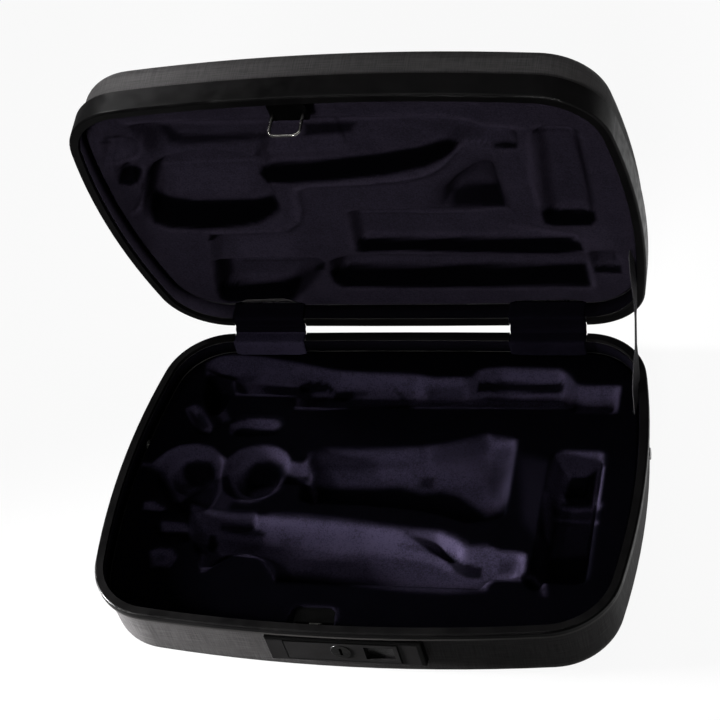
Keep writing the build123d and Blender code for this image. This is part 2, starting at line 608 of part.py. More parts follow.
def make_hinge_cover(side):
    """A plush flap over one hinge, turning round the knuckles between its two halves."""
    base_half = flap_half(side, BASE_PLUSH_Z + FLAP_CLEAR)
    lid_end_z = 2 * HINGE_Z - (LID_PLUSH_Z - FLAP_LID_SHORT)
    lid_half = swing_open(flap_half(side, lid_end_z).mirror(Plane.XY.offset(HINGE_Z)))
    x = side * HINGE_CENTRE_X
    x0, x1 = x - FLAP_WIDTH / 2, x + FLAP_WIDTH / 2
    over_z = RIM_Z - RIM_CAP + LEAF + FLAP_CLEAR
    dy = flap_turn_y() - HINGE_Y
    inner = hypot(dy, over_z + FLAP_THICKNESS - HINGE_Z)
    outer = hypot(dy, over_z - HINGE_Z)
    start = degrees(atan2(over_z + FLAP_THICKNESS / 2 - HINGE_Z, dy)) % 360
    end = 360 - start - LID_OPEN_DEG
    turn = rod_x(x0, x1, HINGE_Y, HINGE_Z, outer) - rod_x(x0, x1, HINGE_Y, HINGE_Z, inner)
    reach = 2 * outer
    wedge_points = [(0, 0)]
    for part in (0, 0.5, 1):
        angle = radians(end + (start - end) * part)
        wedge_points.append((reach * cos(angle), reach * sin(angle)))
    wedge = extrude(Plane.YZ * Polygon(*wedge_points, align=None), x1 - x0, dir=(1, 0, 0))
    turn &= Pos(x0, HINGE_Y, HINGE_Z) * wedge
    return base_half + turn + lid_half


def ribbon_ends():
    base_end = (RIBBON_X, HALF_DEPTH - RIBBON_BASE_FROM_REAR, BASE_PLUSH_Z + RIBBON_END_LIFT)
    lid_end = open_point(RIBBON_X, HALF_DEPTH - RIBBON_LID_FROM_REAR, LID_PLUSH_Z - RIBBON_END_LIFT)
    return base_end, lid_end


def make_lid_stay():
    """The ribbon that stops the lid, pulled straight between base and lid."""
    (x, y0, z0), (_, y1, z1) = ribbon_ends()
    length = hypot(y1 - y0, z1 - z0)
    tilt = degrees(atan2(z1 - z0, y1 - y0))
    strip = Rot(tilt, 0, 0) * Box(RIBBON_THICKNESS, length, RIBBON_WIDTH)
    return Pos(x, (y0 + y1) / 2, (z0 + z1) / 2) * strip


# ---- Lock -------------------------------------------------------------------
PLATE_FRONT_Y = FRONT_Y - LOCK_PLATE_PROUD
PANEL_FRONT_Y = PLATE_FRONT_Y - PANEL_PROUD
PANEL_BACK_Y = PANEL_FRONT_Y + PANEL_THICKNESS
PLATE_BACK_Y = FRONT_Y + INNER_INSET
LOOP_Y = FRONT_Y + LOOP_FROM_FRONT
LOOP_BAR_Z = LID_RIM_Z - LOOP_REACH + LOOP_WIRE_RADIUS
BOLT_TOP_Z = BASE_PLUSH_Z - LINING_OVER_HOUSING - HOUSING_COVER - BOLT_CLEAR
BOLT_BOTTOM_Z = BOLT_TOP_Z - BOLT_THICKNESS
BOLT_TIP_Y = LOOP_Y + LOOP_WIRE_RADIUS + BOLT_SHORT_OF_LOOP
DRIVE_TOP_Z = BOLT_BOTTOM_Z - DRIVE_BELOW_BOLT
DRIVE_PIN_Y = BOLT_TIP_Y + DRIVE_PIN_BACK
BRIDGE_Y = BOLT_TIP_Y + BRIDGE_BEHIND_TIP
SLIDER_BACK_Y = PANEL_BACK_Y + SLIDER_CLEAR + SLIDER_BLOCK
CAM_Y = LOOP_Y + LOOP_WIRE_RADIUS - CAM_BEFORE_LOOP


def slider_box(extra=0.0):
    """Space of the slider's tail behind the panel: x0, x1, z0, z1."""
    x0 = WINDOW_LEFT - SLIDER_LAP - SLIDER_TAIL_LEFT
    x1 = WINDOW_RIGHT + SLIDER_TRAVEL + SLIDER_LAP
    half = WINDOW_HEIGHT / 2 + SLIDER_LAP
    return x0 - extra, x1 + extra, LOCK_CENTRE_Z - half - extra, LOCK_CENTRE_Z + half + extra


def make_lock_plate():
    plate = lock_plate_block(PLATE_FRONT_Y, PLATE_BACK_Y)
    plate = fillet(plate.faces().sort_by(Axis.Y)[0].edges(), LOCK_EDGE_RADIUS)
    half = PANEL_HEIGHT / 2
    plate -= block(PANEL_LEFT - PANEL_GROOVE, PANEL_RIGHT + PANEL_GROOVE, PLATE_FRONT_Y - 1, PANEL_BACK_Y,
                   LOCK_CENTRE_Z - half - PANEL_GROOVE, LOCK_CENTRE_Z + half + PANEL_GROOVE)
    x0, x1, z0, z1 = slider_box(SLIDER_CLEAR)
    plate -= block(x0 - SLIDER_TRAVEL, x1, PANEL_BACK_Y, PLATE_BACK_Y + 1, z0, z1)
    plate -= rod_y(CYLINDER_X, CYLINDER_Z, PANEL_BACK_Y - 1, PLATE_BACK_Y + 1,
                   CYLINDER_BODY_RADIUS + CYLINDER_CLEARANCE)
    for x in LOCK_SCREW_X:
        for z in LOCK_SCREW_Z:
            tip_y = PLATE_BACK_Y + HOUSING_WALL - LOCK_SCREW_LENGTH
            plate -= rod_y(x, z, tip_y - LOCK_SCREW_TIP_CLEAR, PLATE_BACK_Y + 1, LOCK_SCREW_RADIUS)
    return plate


def make_lock_panel():
    half = PANEL_HEIGHT / 2
    panel = block(PANEL_LEFT, PANEL_RIGHT, PANEL_FRONT_Y, PANEL_BACK_Y,
                  LOCK_CENTRE_Z - half, LOCK_CENTRE_Z + half)
    panel = fillet(panel.faces().sort_by(Axis.Y)[0].edges(), LOCK_EDGE_RADIUS / 2)
    window_half = WINDOW_HEIGHT / 2
    panel -= block(WINDOW_LEFT, WINDOW_RIGHT, PANEL_FRONT_Y - 1, PANEL_BACK_Y + 1,
                   LOCK_CENTRE_Z - window_half, LOCK_CENTRE_Z + window_half)
    panel -= rod_y(CYLINDER_X, CYLINDER_Z, PANEL_FRONT_Y - 1, PANEL_BACK_Y + 1,
                   CYLINDER_RADIUS + CYLINDER_CLEARANCE)
    return panel


def drive_slot_path():
    """Where the bolt's pin starts and ends in the drive plate, drawn at rest."""
    return (CATCH_CENTRE_X, DRIVE_PIN_Y), (CATCH_CENTRE_X + SLIDER_TRAVEL, DRIVE_PIN_Y - SLIDER_TRAVEL)


def make_lock_slider():
    """Thumb piece with a ramped scoop, and behind it the bar that drives the bolt."""
    x0, x1, z0, z1 = slider_box()
    front = PANEL_BACK_Y + SLIDER_CLEAR
    thumb_half = WINDOW_HEIGHT / 2 + SLIDER_LAP
    thumb = block(WINDOW_LEFT - SLIDER_LAP, WINDOW_RIGHT + SLIDER_LAP / 2, front, SLIDER_BACK_Y,
                  LOCK_CENTRE_Z - thumb_half, LOCK_CENTRE_Z + thumb_half)
    scoop_half = WINDOW_HEIGHT / 2 - SCOOP_MARGIN
    scoop_left, scoop_right = WINDOW_LEFT + SCOOP_MARGIN, WINDOW_RIGHT - 2 * SCOOP_MARGIN
    scoop_points = [(scoop_left, front - 1), (scoop_left, front + SCOOP_DEPTH), (scoop_right, front - 1)]
    scoop = raise_up(Polygon(*scoop_points, align=None), 2 * scoop_half)
    thumb -= Pos(0, 0, LOCK_CENTRE_Z - scoop_half) * scoop
    tail = block(x0, x1, SLIDER_BACK_Y - SLIDER_TAIL, SLIDER_BACK_Y, z0, z1)
    drive_bottom = DRIVE_TOP_Z - DRIVE_PLATE
    (xa, ya), (xb, yb) = drive_slot_path()
    plate_front = yb - DRIVE_PLATE_MARGIN
    plate_rear = ya + DRIVE_PLATE_MARGIN
    riser = block(RISER_LEFT, RISER_LEFT + RISER_WIDTH, SLIDER_BACK_Y, plate_rear,
                  drive_bottom, DRIVE_TOP_Z)
    plate = block(xa - DRIVE_PLATE_MARGIN, RISER_LEFT + RISER_WIDTH, plate_front, plate_rear,
                  drive_bottom, DRIVE_TOP_Z)
    slot_radius = DRIVE_PIN_RADIUS + DRIVE_SLOT_CLEAR
    slot = SlotCenterToCenter(SLIDER_TRAVEL * sqrt(2), 2 * slot_radius)
    slot = Pos((xa + xb) / 2, (ya + yb) / 2, drive_bottom - 1) * Rot(0, 0, -45) * slot
    plate -= raise_up(slot, DRIVE_PLATE + 2)
    tab = block(TAB_LEFT, TAB_LEFT + TAB_WIDTH, plate_front - TAB_REACH, plate_front + TAB_ROOT,
                drive_bottom - TAB_DROP, DRIVE_TOP_Z)
    return thumb + tail + riser + plate + tab


def make_latch_bolt():
    bolt = block(CATCH_CENTRE_X - BOLT_WIDTH / 2, CATCH_CENTRE_X + BOLT_WIDTH / 2,
                 BOLT_TIP_Y, BOLT_TIP_Y + BOLT_LENGTH, BOLT_BOTTOM_Z, BOLT_TOP_Z)
    tip_corners = bolt.edges().filter_by(Axis.Z).group_by(Axis.Y)[0]
    bolt = fillet(tip_corners, BOLT_TIP_RADIUS)
    pin = Pos(CATCH_CENTRE_X, DRIVE_PIN_Y, BOLT_BOTTOM_Z - DRIVE_PIN_DROP / 2) * Cylinder(
        DRIVE_PIN_RADIUS, DRIVE_PIN_DROP)
    return bolt + pin


def make_lock_housing():
    """An open-fronted box behind the lock plate, with a bridge and a cover that guide the bolt."""
    rear = FRONT_Y + HOUSING_REAR_FROM_FRONT
    top = BASE_PLUSH_Z - LINING_OVER_HOUSING
    cover_z = top - HOUSING_COVER
    flange_y = PLATE_BACK_Y
    box = block(HOUSING_LEFT, HOUSING_RIGHT, flange_y, rear, HOUSING_FLOOR_Z, top)
    box -= block(HOUSING_LEFT + HOUSING_WALL, HOUSING_RIGHT - HOUSING_WALL, flange_y - 1,
                 rear - HOUSING_WALL, HOUSING_FLOOR_Z + HOUSING_WALL, cover_z)
    box -= block(HOUSING_LEFT + HOUSING_WALL, HOUSING_RIGHT - HOUSING_WALL, flange_y - 1,
                 BRIDGE_Y, cover_z - 1, top + 1)
    box += block(HOUSING_LEFT + HOUSING_WALL, HOUSING_RIGHT - HOUSING_WALL, BRIDGE_Y,
                 BRIDGE_Y + BRIDGE_THICKNESS, DRIVE_TOP_Z + DRIVE_CLEAR, cover_z)
    flange = block(HOUSING_FLANGE_LEFT, HOUSING_FLANGE_RIGHT, flange_y, flange_y + HOUSING_WALL,
                   HOUSING_FLOOR_Z, top)
    flange -= block(HOUSING_LEFT + HOUSING_WALL, HOUSING_RIGHT - HOUSING_WALL, flange_y - 1,
                    flange_y + HOUSING_WALL + 1, HOUSING_FLOOR_Z + HOUSING_WALL, top + 1)
    housing = box + flange
    half = BOLT_WIDTH / 2 + BOLT_CLEAR
    housing -= block(CATCH_CENTRE_X - half, CATCH_CENTRE_X + half, BRIDGE_Y - 1, rear + 1,
                     BOLT_BOTTOM_Z - BOLT_CLEAR, BOLT_TOP_Z + BOLT_CLEAR)
    for x in LOCK_SCREW_X:
        for z in LOCK_SCREW_Z:
            housing -= rod_y(x, z, flange_y - 1, flange_y + HOUSING_WALL + 1, LOCK_SCREW_RADIUS)
    return housing


def make_lock_screws():
    screws = []
    head_y = PLATE_BACK_Y + HOUSING_WALL
    for x in LOCK_SCREW_X:
        for z in LOCK_SCREW_Z:
            shank = rod_y(x, z, head_y - LOCK_SCREW_LENGTH, head_y, LOCK_SCREW_RADIUS)
            head = rod_y(x, z, head_y, head_y + LOCK_SCREW_HEAD, LOCK_SCREW_HEAD_RADIUS)
            screws.append(shank + head)
    return Compound(screws)


def make_key_cylinder():
    head_front = PANEL_FRONT_Y - CYLINDER_PROUD
    head_back = head_front + CYLINDER_HEAD + CYLINDER_PROUD
    head = rod_y(CYLINDER_X, CYLINDER_Z, head_front, head_back, CYLINDER_RADIUS)
    head = fillet(head.edges().filter_by(GeomType.CIRCLE).group_by(Axis.Y)[0], CYLINDER_EDGE_RADIUS)
    body = rod_y(CYLINDER_X, CYLINDER_Z, head_back, PLATE_BACK_Y, CYLINDER_BODY_RADIUS)
    spindle = rod_y(CYLINDER_X, CYLINDER_Z, PLATE_BACK_Y, CAM_Y + CAM_THICKNESS, SPINDLE_RADIUS)
    keyway = block(CYLINDER_X - KEYWAY_WIDTH / 2, CYLINDER_X + KEYWAY_WIDTH / 2,
                   head_front - 1, head_front + KEYWAY_DEPTH,
                   CYLINDER_Z - KEYWAY_LENGTH / 2, CYLINDER_Z + KEYWAY_LENGTH / 2)
    return head + body + spindle - keyway


def make_lock_cam():
    """An arm on the spindle; a quarter turn brings its pin beside the slider's tab."""
    hub = rod_y(CYLINDER_X, CYLINDER_Z, CAM_Y, CAM_Y + CAM_THICKNESS, CAM_HUB_RADIUS)
    arm = block(CYLINDER_X - CAM_WIDTH / 2, CYLINDER_X + CAM_WIDTH / 2, CAM_Y, CAM_Y + CAM_THICKNESS,
                CYLINDER_Z - CAM_REACH - CAM_PIN_RADIUS, CYLINDER_Z)
    pin_y = CAM_Y + CAM_THICKNESS
    pin = rod_y(CYLINDER_X, CYLINDER_Z - CAM_REACH, pin_y, pin_y + CAM_PIN_LENGTH, CAM_PIN_RADIUS)
    bore = rod_y(CYLINDER_X, CYLINDER_Z, CAM_Y - 1, CAM_Y + 2 * CAM_THICKNESS,
                 SPINDLE_RADIUS + SPINDLE_CLEARANCE)
    return hub + arm + pin - bore


# ---- Catch on the lid, drawn closed ------------------------------------------
def catch_screw_xs():
    return [CATCH_CENTRE_X - CATCH_SCREW_SPREAD / 2, CATCH_CENTRE_X + CATCH_SCREW_SPREAD / 2]


def catch_screw_z():
    return LID_RIM_Z + RIM_CAP + CATCH_SCREW_ABOVE_CAP


def catch_screw_hole(x):
    inside_y = FRONT_Y + INNER_INSET
    return rod_y(x, catch_screw_z(), inside_y - CATCH_SCREW_INTO_WALL, inside_y + 1, CATCH_SCREW_RADIUS)


def catch_front_y():
    """Front of the catch block, against the curved wall at the block's far corner."""
    return front_y(abs(CATCH_CENTRE_X) + CATCH_BLOCK_WIDTH / 2, INNER_INSET) + SEAT


def make_catch_block():
    front = catch_front_y()
    body = block(CATCH_CENTRE_X - CATCH_BLOCK_WIDTH / 2, CATCH_CENTRE_X + CATCH_BLOCK_WIDTH / 2,
                 front, front + CATCH_BLOCK_DEPTH,
                 LID_RIM_Z + CATCH_BLOCK_ABOVE_RIM, LID_PLUSH_Z + CATCH_BLOCK_INTO_LINING)
    body = fillet(body.edges().filter_by(Axis.Z), CATCH_EDGE_RADIUS)
    half = LOOP_WIDTH / 2 - LOOP_WIRE_RADIUS
    for side in (-1, 1):
        body -= Pos(CATCH_CENTRE_X + side * half, LOOP_Y, LID_RIM_Z + LOOP_ROOT / 2) * Cylinder(
            LOOP_WIRE_RADIUS, LOOP_ROOT)
    for x in catch_screw_xs():
        body -= rod_y(x, catch_screw_z(), front - 1, front + CATCH_BLOCK_DEPTH + 1, CATCH_SCREW_RADIUS)
    return swing_open(body)


def make_catch_loop():
    """A bent wire: two legs and a bar, with round corners."""
    half = LOOP_WIDTH / 2 - LOOP_WIRE_RADIUS
    root_z = LID_RIM_Z + LOOP_ROOT
    points = [(CATCH_CENTRE_X - half, LOOP_Y, root_z), (CATCH_CENTRE_X - half, LOOP_Y, LOOP_BAR_Z),
              (CATCH_CENTRE_X + half, LOOP_Y, LOOP_BAR_Z), (CATCH_CENTRE_X + half, LOOP_Y, root_z)]
    path = FilletPolyline(*points, radius=LOOP_CORNER_RADIUS)
    section = Plane(origin=points[0], z_dir=(0, 0, -1)) * Circle(LOOP_WIRE_RADIUS)
    return swing_open(sweep(section, path=path))


def make_catch_screws():
    screws = []
    inside_y = FRONT_Y + INNER_INSET
    rear = catch_front_y() + CATCH_BLOCK_DEPTH
    for x in catch_screw_xs():
        shank = rod_y(x, catch_screw_z(), inside_y - CATCH_SCREW_INTO_WALL, rear, CATCH_SCREW_RADIUS)
        head = rod_y(x, catch_screw_z(), rear, rear + CATCH_SCREW_HEAD, CATCH_SCREW_HEAD_RADIUS)
        screws.append(swing_open(shank + head))
    return Compound(screws)


# ---- Strap studs -------------------------------------------------------------
def stud_part(side, start, end, radius):
    """A round slice of a stud, from start to end along the wall's inward normal."""
    x, tilt = side_point(STUD_Y)
    disc = Rot(0, 90, 0) * Cylinder(radius, abs(end - start))
    along = Rot(0, 0, tilt) * Pos(-(start + end) / 2, 0, 0) * disc
    inside = Pos(x, STUD_Y, STUD_Z) * Rot(0, 0, tilt) * Pos(-INNER_INSET, 0, 0) * Rot(0, 0, -tilt) * along
    return inside if side > 0 else inside.mirror(Plane.YZ)


def stud_hole(side):
    return stud_part(side, -2 * WALL, 1, STUD_NECK_RADIUS)


def make_strap_stud(side):
    outside = -WALL
    shank = stud_part(side, outside, STUD_WASHER + STUD_PEEN, STUD_NECK_RADIUS)
    flange = stud_part(side, outside - STUD_FLANGE, outside, STUD_FLANGE_RADIUS)
    neck_end = outside - STUD_FLANGE - STUD_NECK
    neck = stud_part(side, neck_end, outside - STUD_FLANGE, STUD_NECK_RADIUS)
    head = stud_part(side, neck_end - STUD_HEAD, neck_end, STUD_HEAD_RADIUS)
    outer_rim = head.edges().filter_by(GeomType.CIRCLE).sort_by(Axis.X)[-1 if side > 0 else 0]
    return shank + flange + neck + fillet(outer_rim, STUD_HEAD / 2)


def make_strap_washers():
    washers = []
    for side in (-1, 1):
        washer = stud_part(side, SEAT, STUD_WASHER, STUD_WASHER_RADIUS)
        washers.append(washer - stud_part(side, -1, 2 * STUD_WASHER, STUD_NECK_RADIUS + STUD_CLEARANCE))
    return Compound(washers)


# ---- Write every piece --------------------------------------------------------
NODES = {
    "base_shell": make_base_shell,
    "base_rim": make_base_rim,
    "base_lining": make_base_lining,
    "lid_shell": make_lid_shell,
    "lid_rim": make_lid_rim,
    "lid_lining": make_lid_lining,
    "hinge_base_rivets": make_hinge_base_rivets,
    "hinge_lid_rivets": make_hinge_lid_rivets,
    "lid_stay_ribbon": make_lid_stay,
    "lock_plate": make_lock_plate,
    "lock_panel": make_lock_panel,
    "lock_slider": make_lock_slider,
    "latch_bolt": make_latch_bolt,
    "lock_housing": make_lock_housing,
    "lock_screws": make_lock_screws,
    "key_cylinder": make_key_cylinder,
    "lock_cam": make_lock_cam,
    "catch_block": make_catch_block,
    "catch_loop": make_catch_loop,
    "catch_screws": make_catch_screws,
    "strap_washers": make_strap_washers,
}
for side_name, side in (("left", -1), ("right", 1)):
    NODES[f"hinge_{side_name}_base_leaf"] = lambda side=side: make_base_leaf(side)
    NODES[f"hinge_{side_name}_lid_leaf"] = lambda side=side: make_lid_leaf(side)
    NODES[f"hinge_{side_name}_pin"] = lambda side=side: make_hinge_pin(side)
    NODES[f"hinge_cover_{side_name}"] = lambda side=side: make_hinge_cover(side)
    NODES[f"strap_stud_{side_name}"] = lambda side=side: make_strap_stud(side)

os.makedirs("parts", exist_ok=True)
for name, make in NODES.items():
    export_step(make(), f"parts/{name}.step")
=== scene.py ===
import json
import math

import bmesh
import bpy
import numpy as np
from mathutils import Matrix, Vector


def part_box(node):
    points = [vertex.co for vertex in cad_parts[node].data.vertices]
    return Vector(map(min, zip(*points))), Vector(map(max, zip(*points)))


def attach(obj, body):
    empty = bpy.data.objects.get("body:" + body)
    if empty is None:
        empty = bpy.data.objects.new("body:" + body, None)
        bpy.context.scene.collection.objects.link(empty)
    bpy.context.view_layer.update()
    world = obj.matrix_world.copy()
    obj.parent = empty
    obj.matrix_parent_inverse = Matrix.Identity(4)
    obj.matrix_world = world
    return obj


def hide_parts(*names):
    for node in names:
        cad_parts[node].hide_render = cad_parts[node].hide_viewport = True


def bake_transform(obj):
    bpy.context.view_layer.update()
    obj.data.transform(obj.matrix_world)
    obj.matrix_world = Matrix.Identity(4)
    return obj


# A hard clarinet case, shown open. Sizes are in millimetres and turned to metres by MM.
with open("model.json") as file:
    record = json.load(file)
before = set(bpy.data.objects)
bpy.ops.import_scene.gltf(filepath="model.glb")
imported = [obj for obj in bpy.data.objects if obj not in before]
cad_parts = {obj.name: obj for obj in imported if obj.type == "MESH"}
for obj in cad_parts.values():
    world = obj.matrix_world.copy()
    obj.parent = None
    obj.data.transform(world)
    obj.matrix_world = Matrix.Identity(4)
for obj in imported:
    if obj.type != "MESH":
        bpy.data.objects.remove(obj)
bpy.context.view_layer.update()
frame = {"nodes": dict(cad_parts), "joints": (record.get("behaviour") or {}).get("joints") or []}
MM = 0.001


# ---- Sizes read from the frame -----------------------------------------------
def box_mm(node):
    low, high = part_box(node)
    return low / MM, high / MM


RIM_LOW, RIM_HIGH = box_mm("base_rim")
LINING_LOW, LINING_HIGH = box_mm("base_lining")
BLOCK_LOW, BLOCK_HIGH = box_mm("catch_block")
HALF_WIDTH = RIM_HIGH.x
HALF_DEPTH = -RIM_LOW.y
RIM_Z = RIM_HIGH.z
BASE_PLUSH_Z = LINING_HIGH.z
LINING_INSET = HALF_WIDTH - LINING_HIGH.x
HINGE = next(joint for joint in frame["joints"] if joint["name"] == "lid_hinge")
HINGE_Y, HINGE_Z = (value / MM for value in HINGE["pos_m"][1:])
LID_OPEN = math.radians(-HINGE["range_deg"][0])

# The photographer's place, in millimetres, and the turns about X, Y and Z, in radians.
CAMERA_PLACE = (322.7, -682.7, 896.6)
CAMERA_TILT = (2.4042, 0.2944, 0.0031)
LENS_MM = 95.56
SENSOR_MM = 36.0

RIM_GAP = 0.4               # between the closed rims
LID_RIM_Z = RIM_Z + RIM_GAP
LID_PLUSH_DROP = 12.0       # from the lid's rim to its plush
LID_HEIGHT = 38.0
SHELL_WALL = 2.5
LID_PLUSH_Z = LID_RIM_Z + LID_PLUSH_DROP
LID_CEILING_Z = LID_RIM_Z + LID_HEIGHT - SHELL_WALL
BASE_FLOOR_Z = LINING_LOW.z
WALL_INSET = 5.4            # inside of the shell's wall

# Plan outline: the turn of each arc, rear to front, and the two corner radii.
ARC_TURNS = [math.radians(turn) for turn in (1.08, 78.6, 19.17, 74.64)]
REAR_CORNER_RADIUS = 40.4
FRONT_CORNER_RADIUS = 43.2
POINTS_PER_ARC = 40


def outline_arcs():
    """Radius, start and end heading of the right half's five arcs, rear to front."""
    heads = np.cumsum([0.0] + ARC_TURNS)
    s, c = np.sin(heads), np.cos(heads)
    close = (1 + c[4]) / s[4]
    a, b = s[1], 1 - s[2]
    e = (1 - c[1]) + close * s[1]
    d = (c[2] - c[3]) + close * (s[3] - s[2])
    corners = REAR_CORNER_RADIUS * (s[2] - s[1])
    right = HALF_WIDTH - corners
    down = (2 * HALF_DEPTH - REAR_CORNER_RADIUS * (c[1] - c[2]) - FRONT_CORNER_RADIUS * (c[3] - c[4])
            - close * (corners + FRONT_CORNER_RADIUS * (s[4] - s[3])))
    rear = (right * d - b * down) / (a * d - b * e)
    side = (a * down - e * right) / (a * d - b * e)
    front = (rear * s[1] + corners + side * (s[3] - s[2]) + FRONT_CORNER_RADIUS * (s[4] - s[3])) / s[4]
    radii = [rear, REAR_CORNER_RADIUS, side, FRONT_CORNER_RADIUS, front]
    return list(zip(radii, heads, list(heads[1:]) + [math.pi]))


def outline_points(inset):
    """The plan outline as points, clockwise from the middle of the rear, drawn in by inset."""
    x, y = 0.0, HALF_DEPTH - inset
    half = [(x, y)]
    for radius, start, end in outline_arcs():
        radius -= inset
        for h in np.linspace(start, end, POINTS_PER_ARC)[1:]:
            half.append((x + radius * (math.sin(h) - math.sin(start)), y - radius * (math.cos(start) - math.cos(h))))
        x, y = half[-1]
    left = [(-px, py) for px, py in reversed(half[1:-1])]
    return np.array(half + left)


def opened(points):
    """Lid points from their closed place to the open one, in millimetres."""
    points = np.array(points, float)
    dy, dz = points[:, 1] - HINGE_Y, points[:, 2] - HINGE_Z
    c, s = math.cos(LID_OPEN), math.sin(LID_OPEN)
    return np.column_stack([points[:, 0], HINGE_Y + dy * c + dz * s, HINGE_Z - dy * s + dz * c])


# ---- Node helpers for materials ------------------------------------------------
class Nodes:
    """Short calls for the nodes of one tree."""

    def __init__(self, tree):
        self.tree = tree

    def node(self, kind, **values):
        made = self.tree.nodes.new(kind)
        for key, value in values.items():
            setattr(made, key, value)
        return made

    def link(self, source, target):
        self.tree.links.new(source, target)

    def put(self, socket, value):
        if isinstance(value, bpy.types.NodeSocket):
            self.link(value, socket)
        else:
            socket.default_value = value

    def math(self, operation, *values, clamp=False):
        made = self.node("ShaderNodeMath", operation=operation, use_clamp=clamp)
        for socket, value in zip(made.inputs, values):
            self.put(socket, value)
        return made.outputs[0]

    def choose(self, chooser, a, b):
        """Value a where the chooser is 0, and b where it is 1."""
        return self.math("ADD", self.math("MULTIPLY", a, self.math("SUBTRACT", 1.0, chooser)),
                         self.math("MULTIPLY", b, chooser))

    def axes(self, vector):
        made = self.node("ShaderNodeSeparateXYZ")
        self.link(vector, made.inputs[0])
        return made.outputs

    def span(self, value, low, high, to_low=0.0, to_high=1.0):
        """A smooth rise of the result between two limits of the value."""
        made = self.node("ShaderNodeMapRange", interpolation_type="SMOOTHSTEP")
        self.put(made.inputs["Value"], value)
        limits = {"From Min": low, "From Max": high, "To Min": to_low, "To Max": to_high}
        for socket, limit in limits.items():
            made.inputs[socket].default_value = limit
        return made.outputs["Result"]

    def background_share(self, camera_share, mirror_share):
        """How much of a surface is plain background, by the kind of ray that meets it."""
        rays = self.node("ShaderNodeLightPath").outputs
        mirror = self.math("MAXIMUM", rays["Is Glossy Ray"], rays["Is Transmission Ray"])
        mirror = self.math("MULTIPLY", mirror, mirror_share)
        return self.math("MULTIPLY_ADD", rays["Is Camera Ray"], camera_share, mirror)

    def show_background(self, share, lit, background, output):
        mixer = self.node("ShaderNodeMixShader")
        for socket, source in zip(mixer.inputs, (share, lit, background)):
            self.link(source, socket)
        self.link(mixer.outputs[0], self.tree.nodes[output].inputs["Surface"])


class Paint(Nodes):
    """A material with one Principled shader."""

    def __init__(self, name, colour, roughness, metallic=0.0, specular=0.5):
        self.material = bpy.data.materials.new(name)
        self.material.use_nodes = True
        super().__init__(self.material.node_tree)
        self.shader = self.tree.nodes["Principled BSDF"]
        values = {"Base Color": (*colour, 1), "Roughness": roughness, "Metallic": metallic,
                  "Specular IOR Level": specular}
        for socket, value in values.items():
            self.shader.inputs[socket].default_value = value
        self.place = self.node("ShaderNodeTexCoord").outputs["Object"]

    def scaled(self, scale, source=None):
        made = self.node("ShaderNodeMapping")
        made.inputs["Scale"].default_value = scale
        self.link(source or self.place, made.inputs["Vector"])
        return made.outputs["Vector"]

    def noise(self, scale, detail=2.0, roughness=0.5, source=None):
        """Noise from 0 to 1. The scale is in cells per metre, one number or one for each axis."""
        size = scale if isinstance(scale, tuple) else (scale, scale, scale)
        made = self.node("ShaderNodeTexNoise")
        self.link(self.scaled(size, source), made.inputs["Vector"])
        made.inputs["Scale"].default_value = 1.0
        made.inputs["Detail"].default_value = detail
        made.inputs["Roughness"].default_value = roughness
        return made.outputs["Fac"]

    def mix(self, factor, a, b):
        made = self.node("ShaderNodeMix", data_type="RGBA")
        self.put(made.inputs[0], factor)
        for socket, colour in ((made.inputs[6], a), (made.inputs[7], b)):
            self.put(socket, colour if isinstance(colour, bpy.types.NodeSocket) else (*colour, 1))
        return made.outputs[2]

    def colour(self, value):
        self.link(value, self.shader.inputs["Base Color"])

    def roughness(self, value):
        self.link(value, self.shader.inputs["Roughness"])

    def bump(self, height, strength, distance):
        made = self.node("ShaderNodeBump")
        made.inputs["Strength"].default_value = strength
        made.inputs["Distance"].default_value = distance
        self.link(height, made.inputs["Height"])
        self.link(made.outputs["Normal"], self.shader.inputs["Normal"])


# ---- Materials -----------------------------------------------------------------
THREAD_PITCH = 0.6 * MM
FLAT_FROM = 0.75            # a face counts as flat where its normal's Z is past this
# black of the painted shade on the lock's plate and panel
PAINTED_SHADE_BLACK = (0.0006, 0.0006, 0.0006)


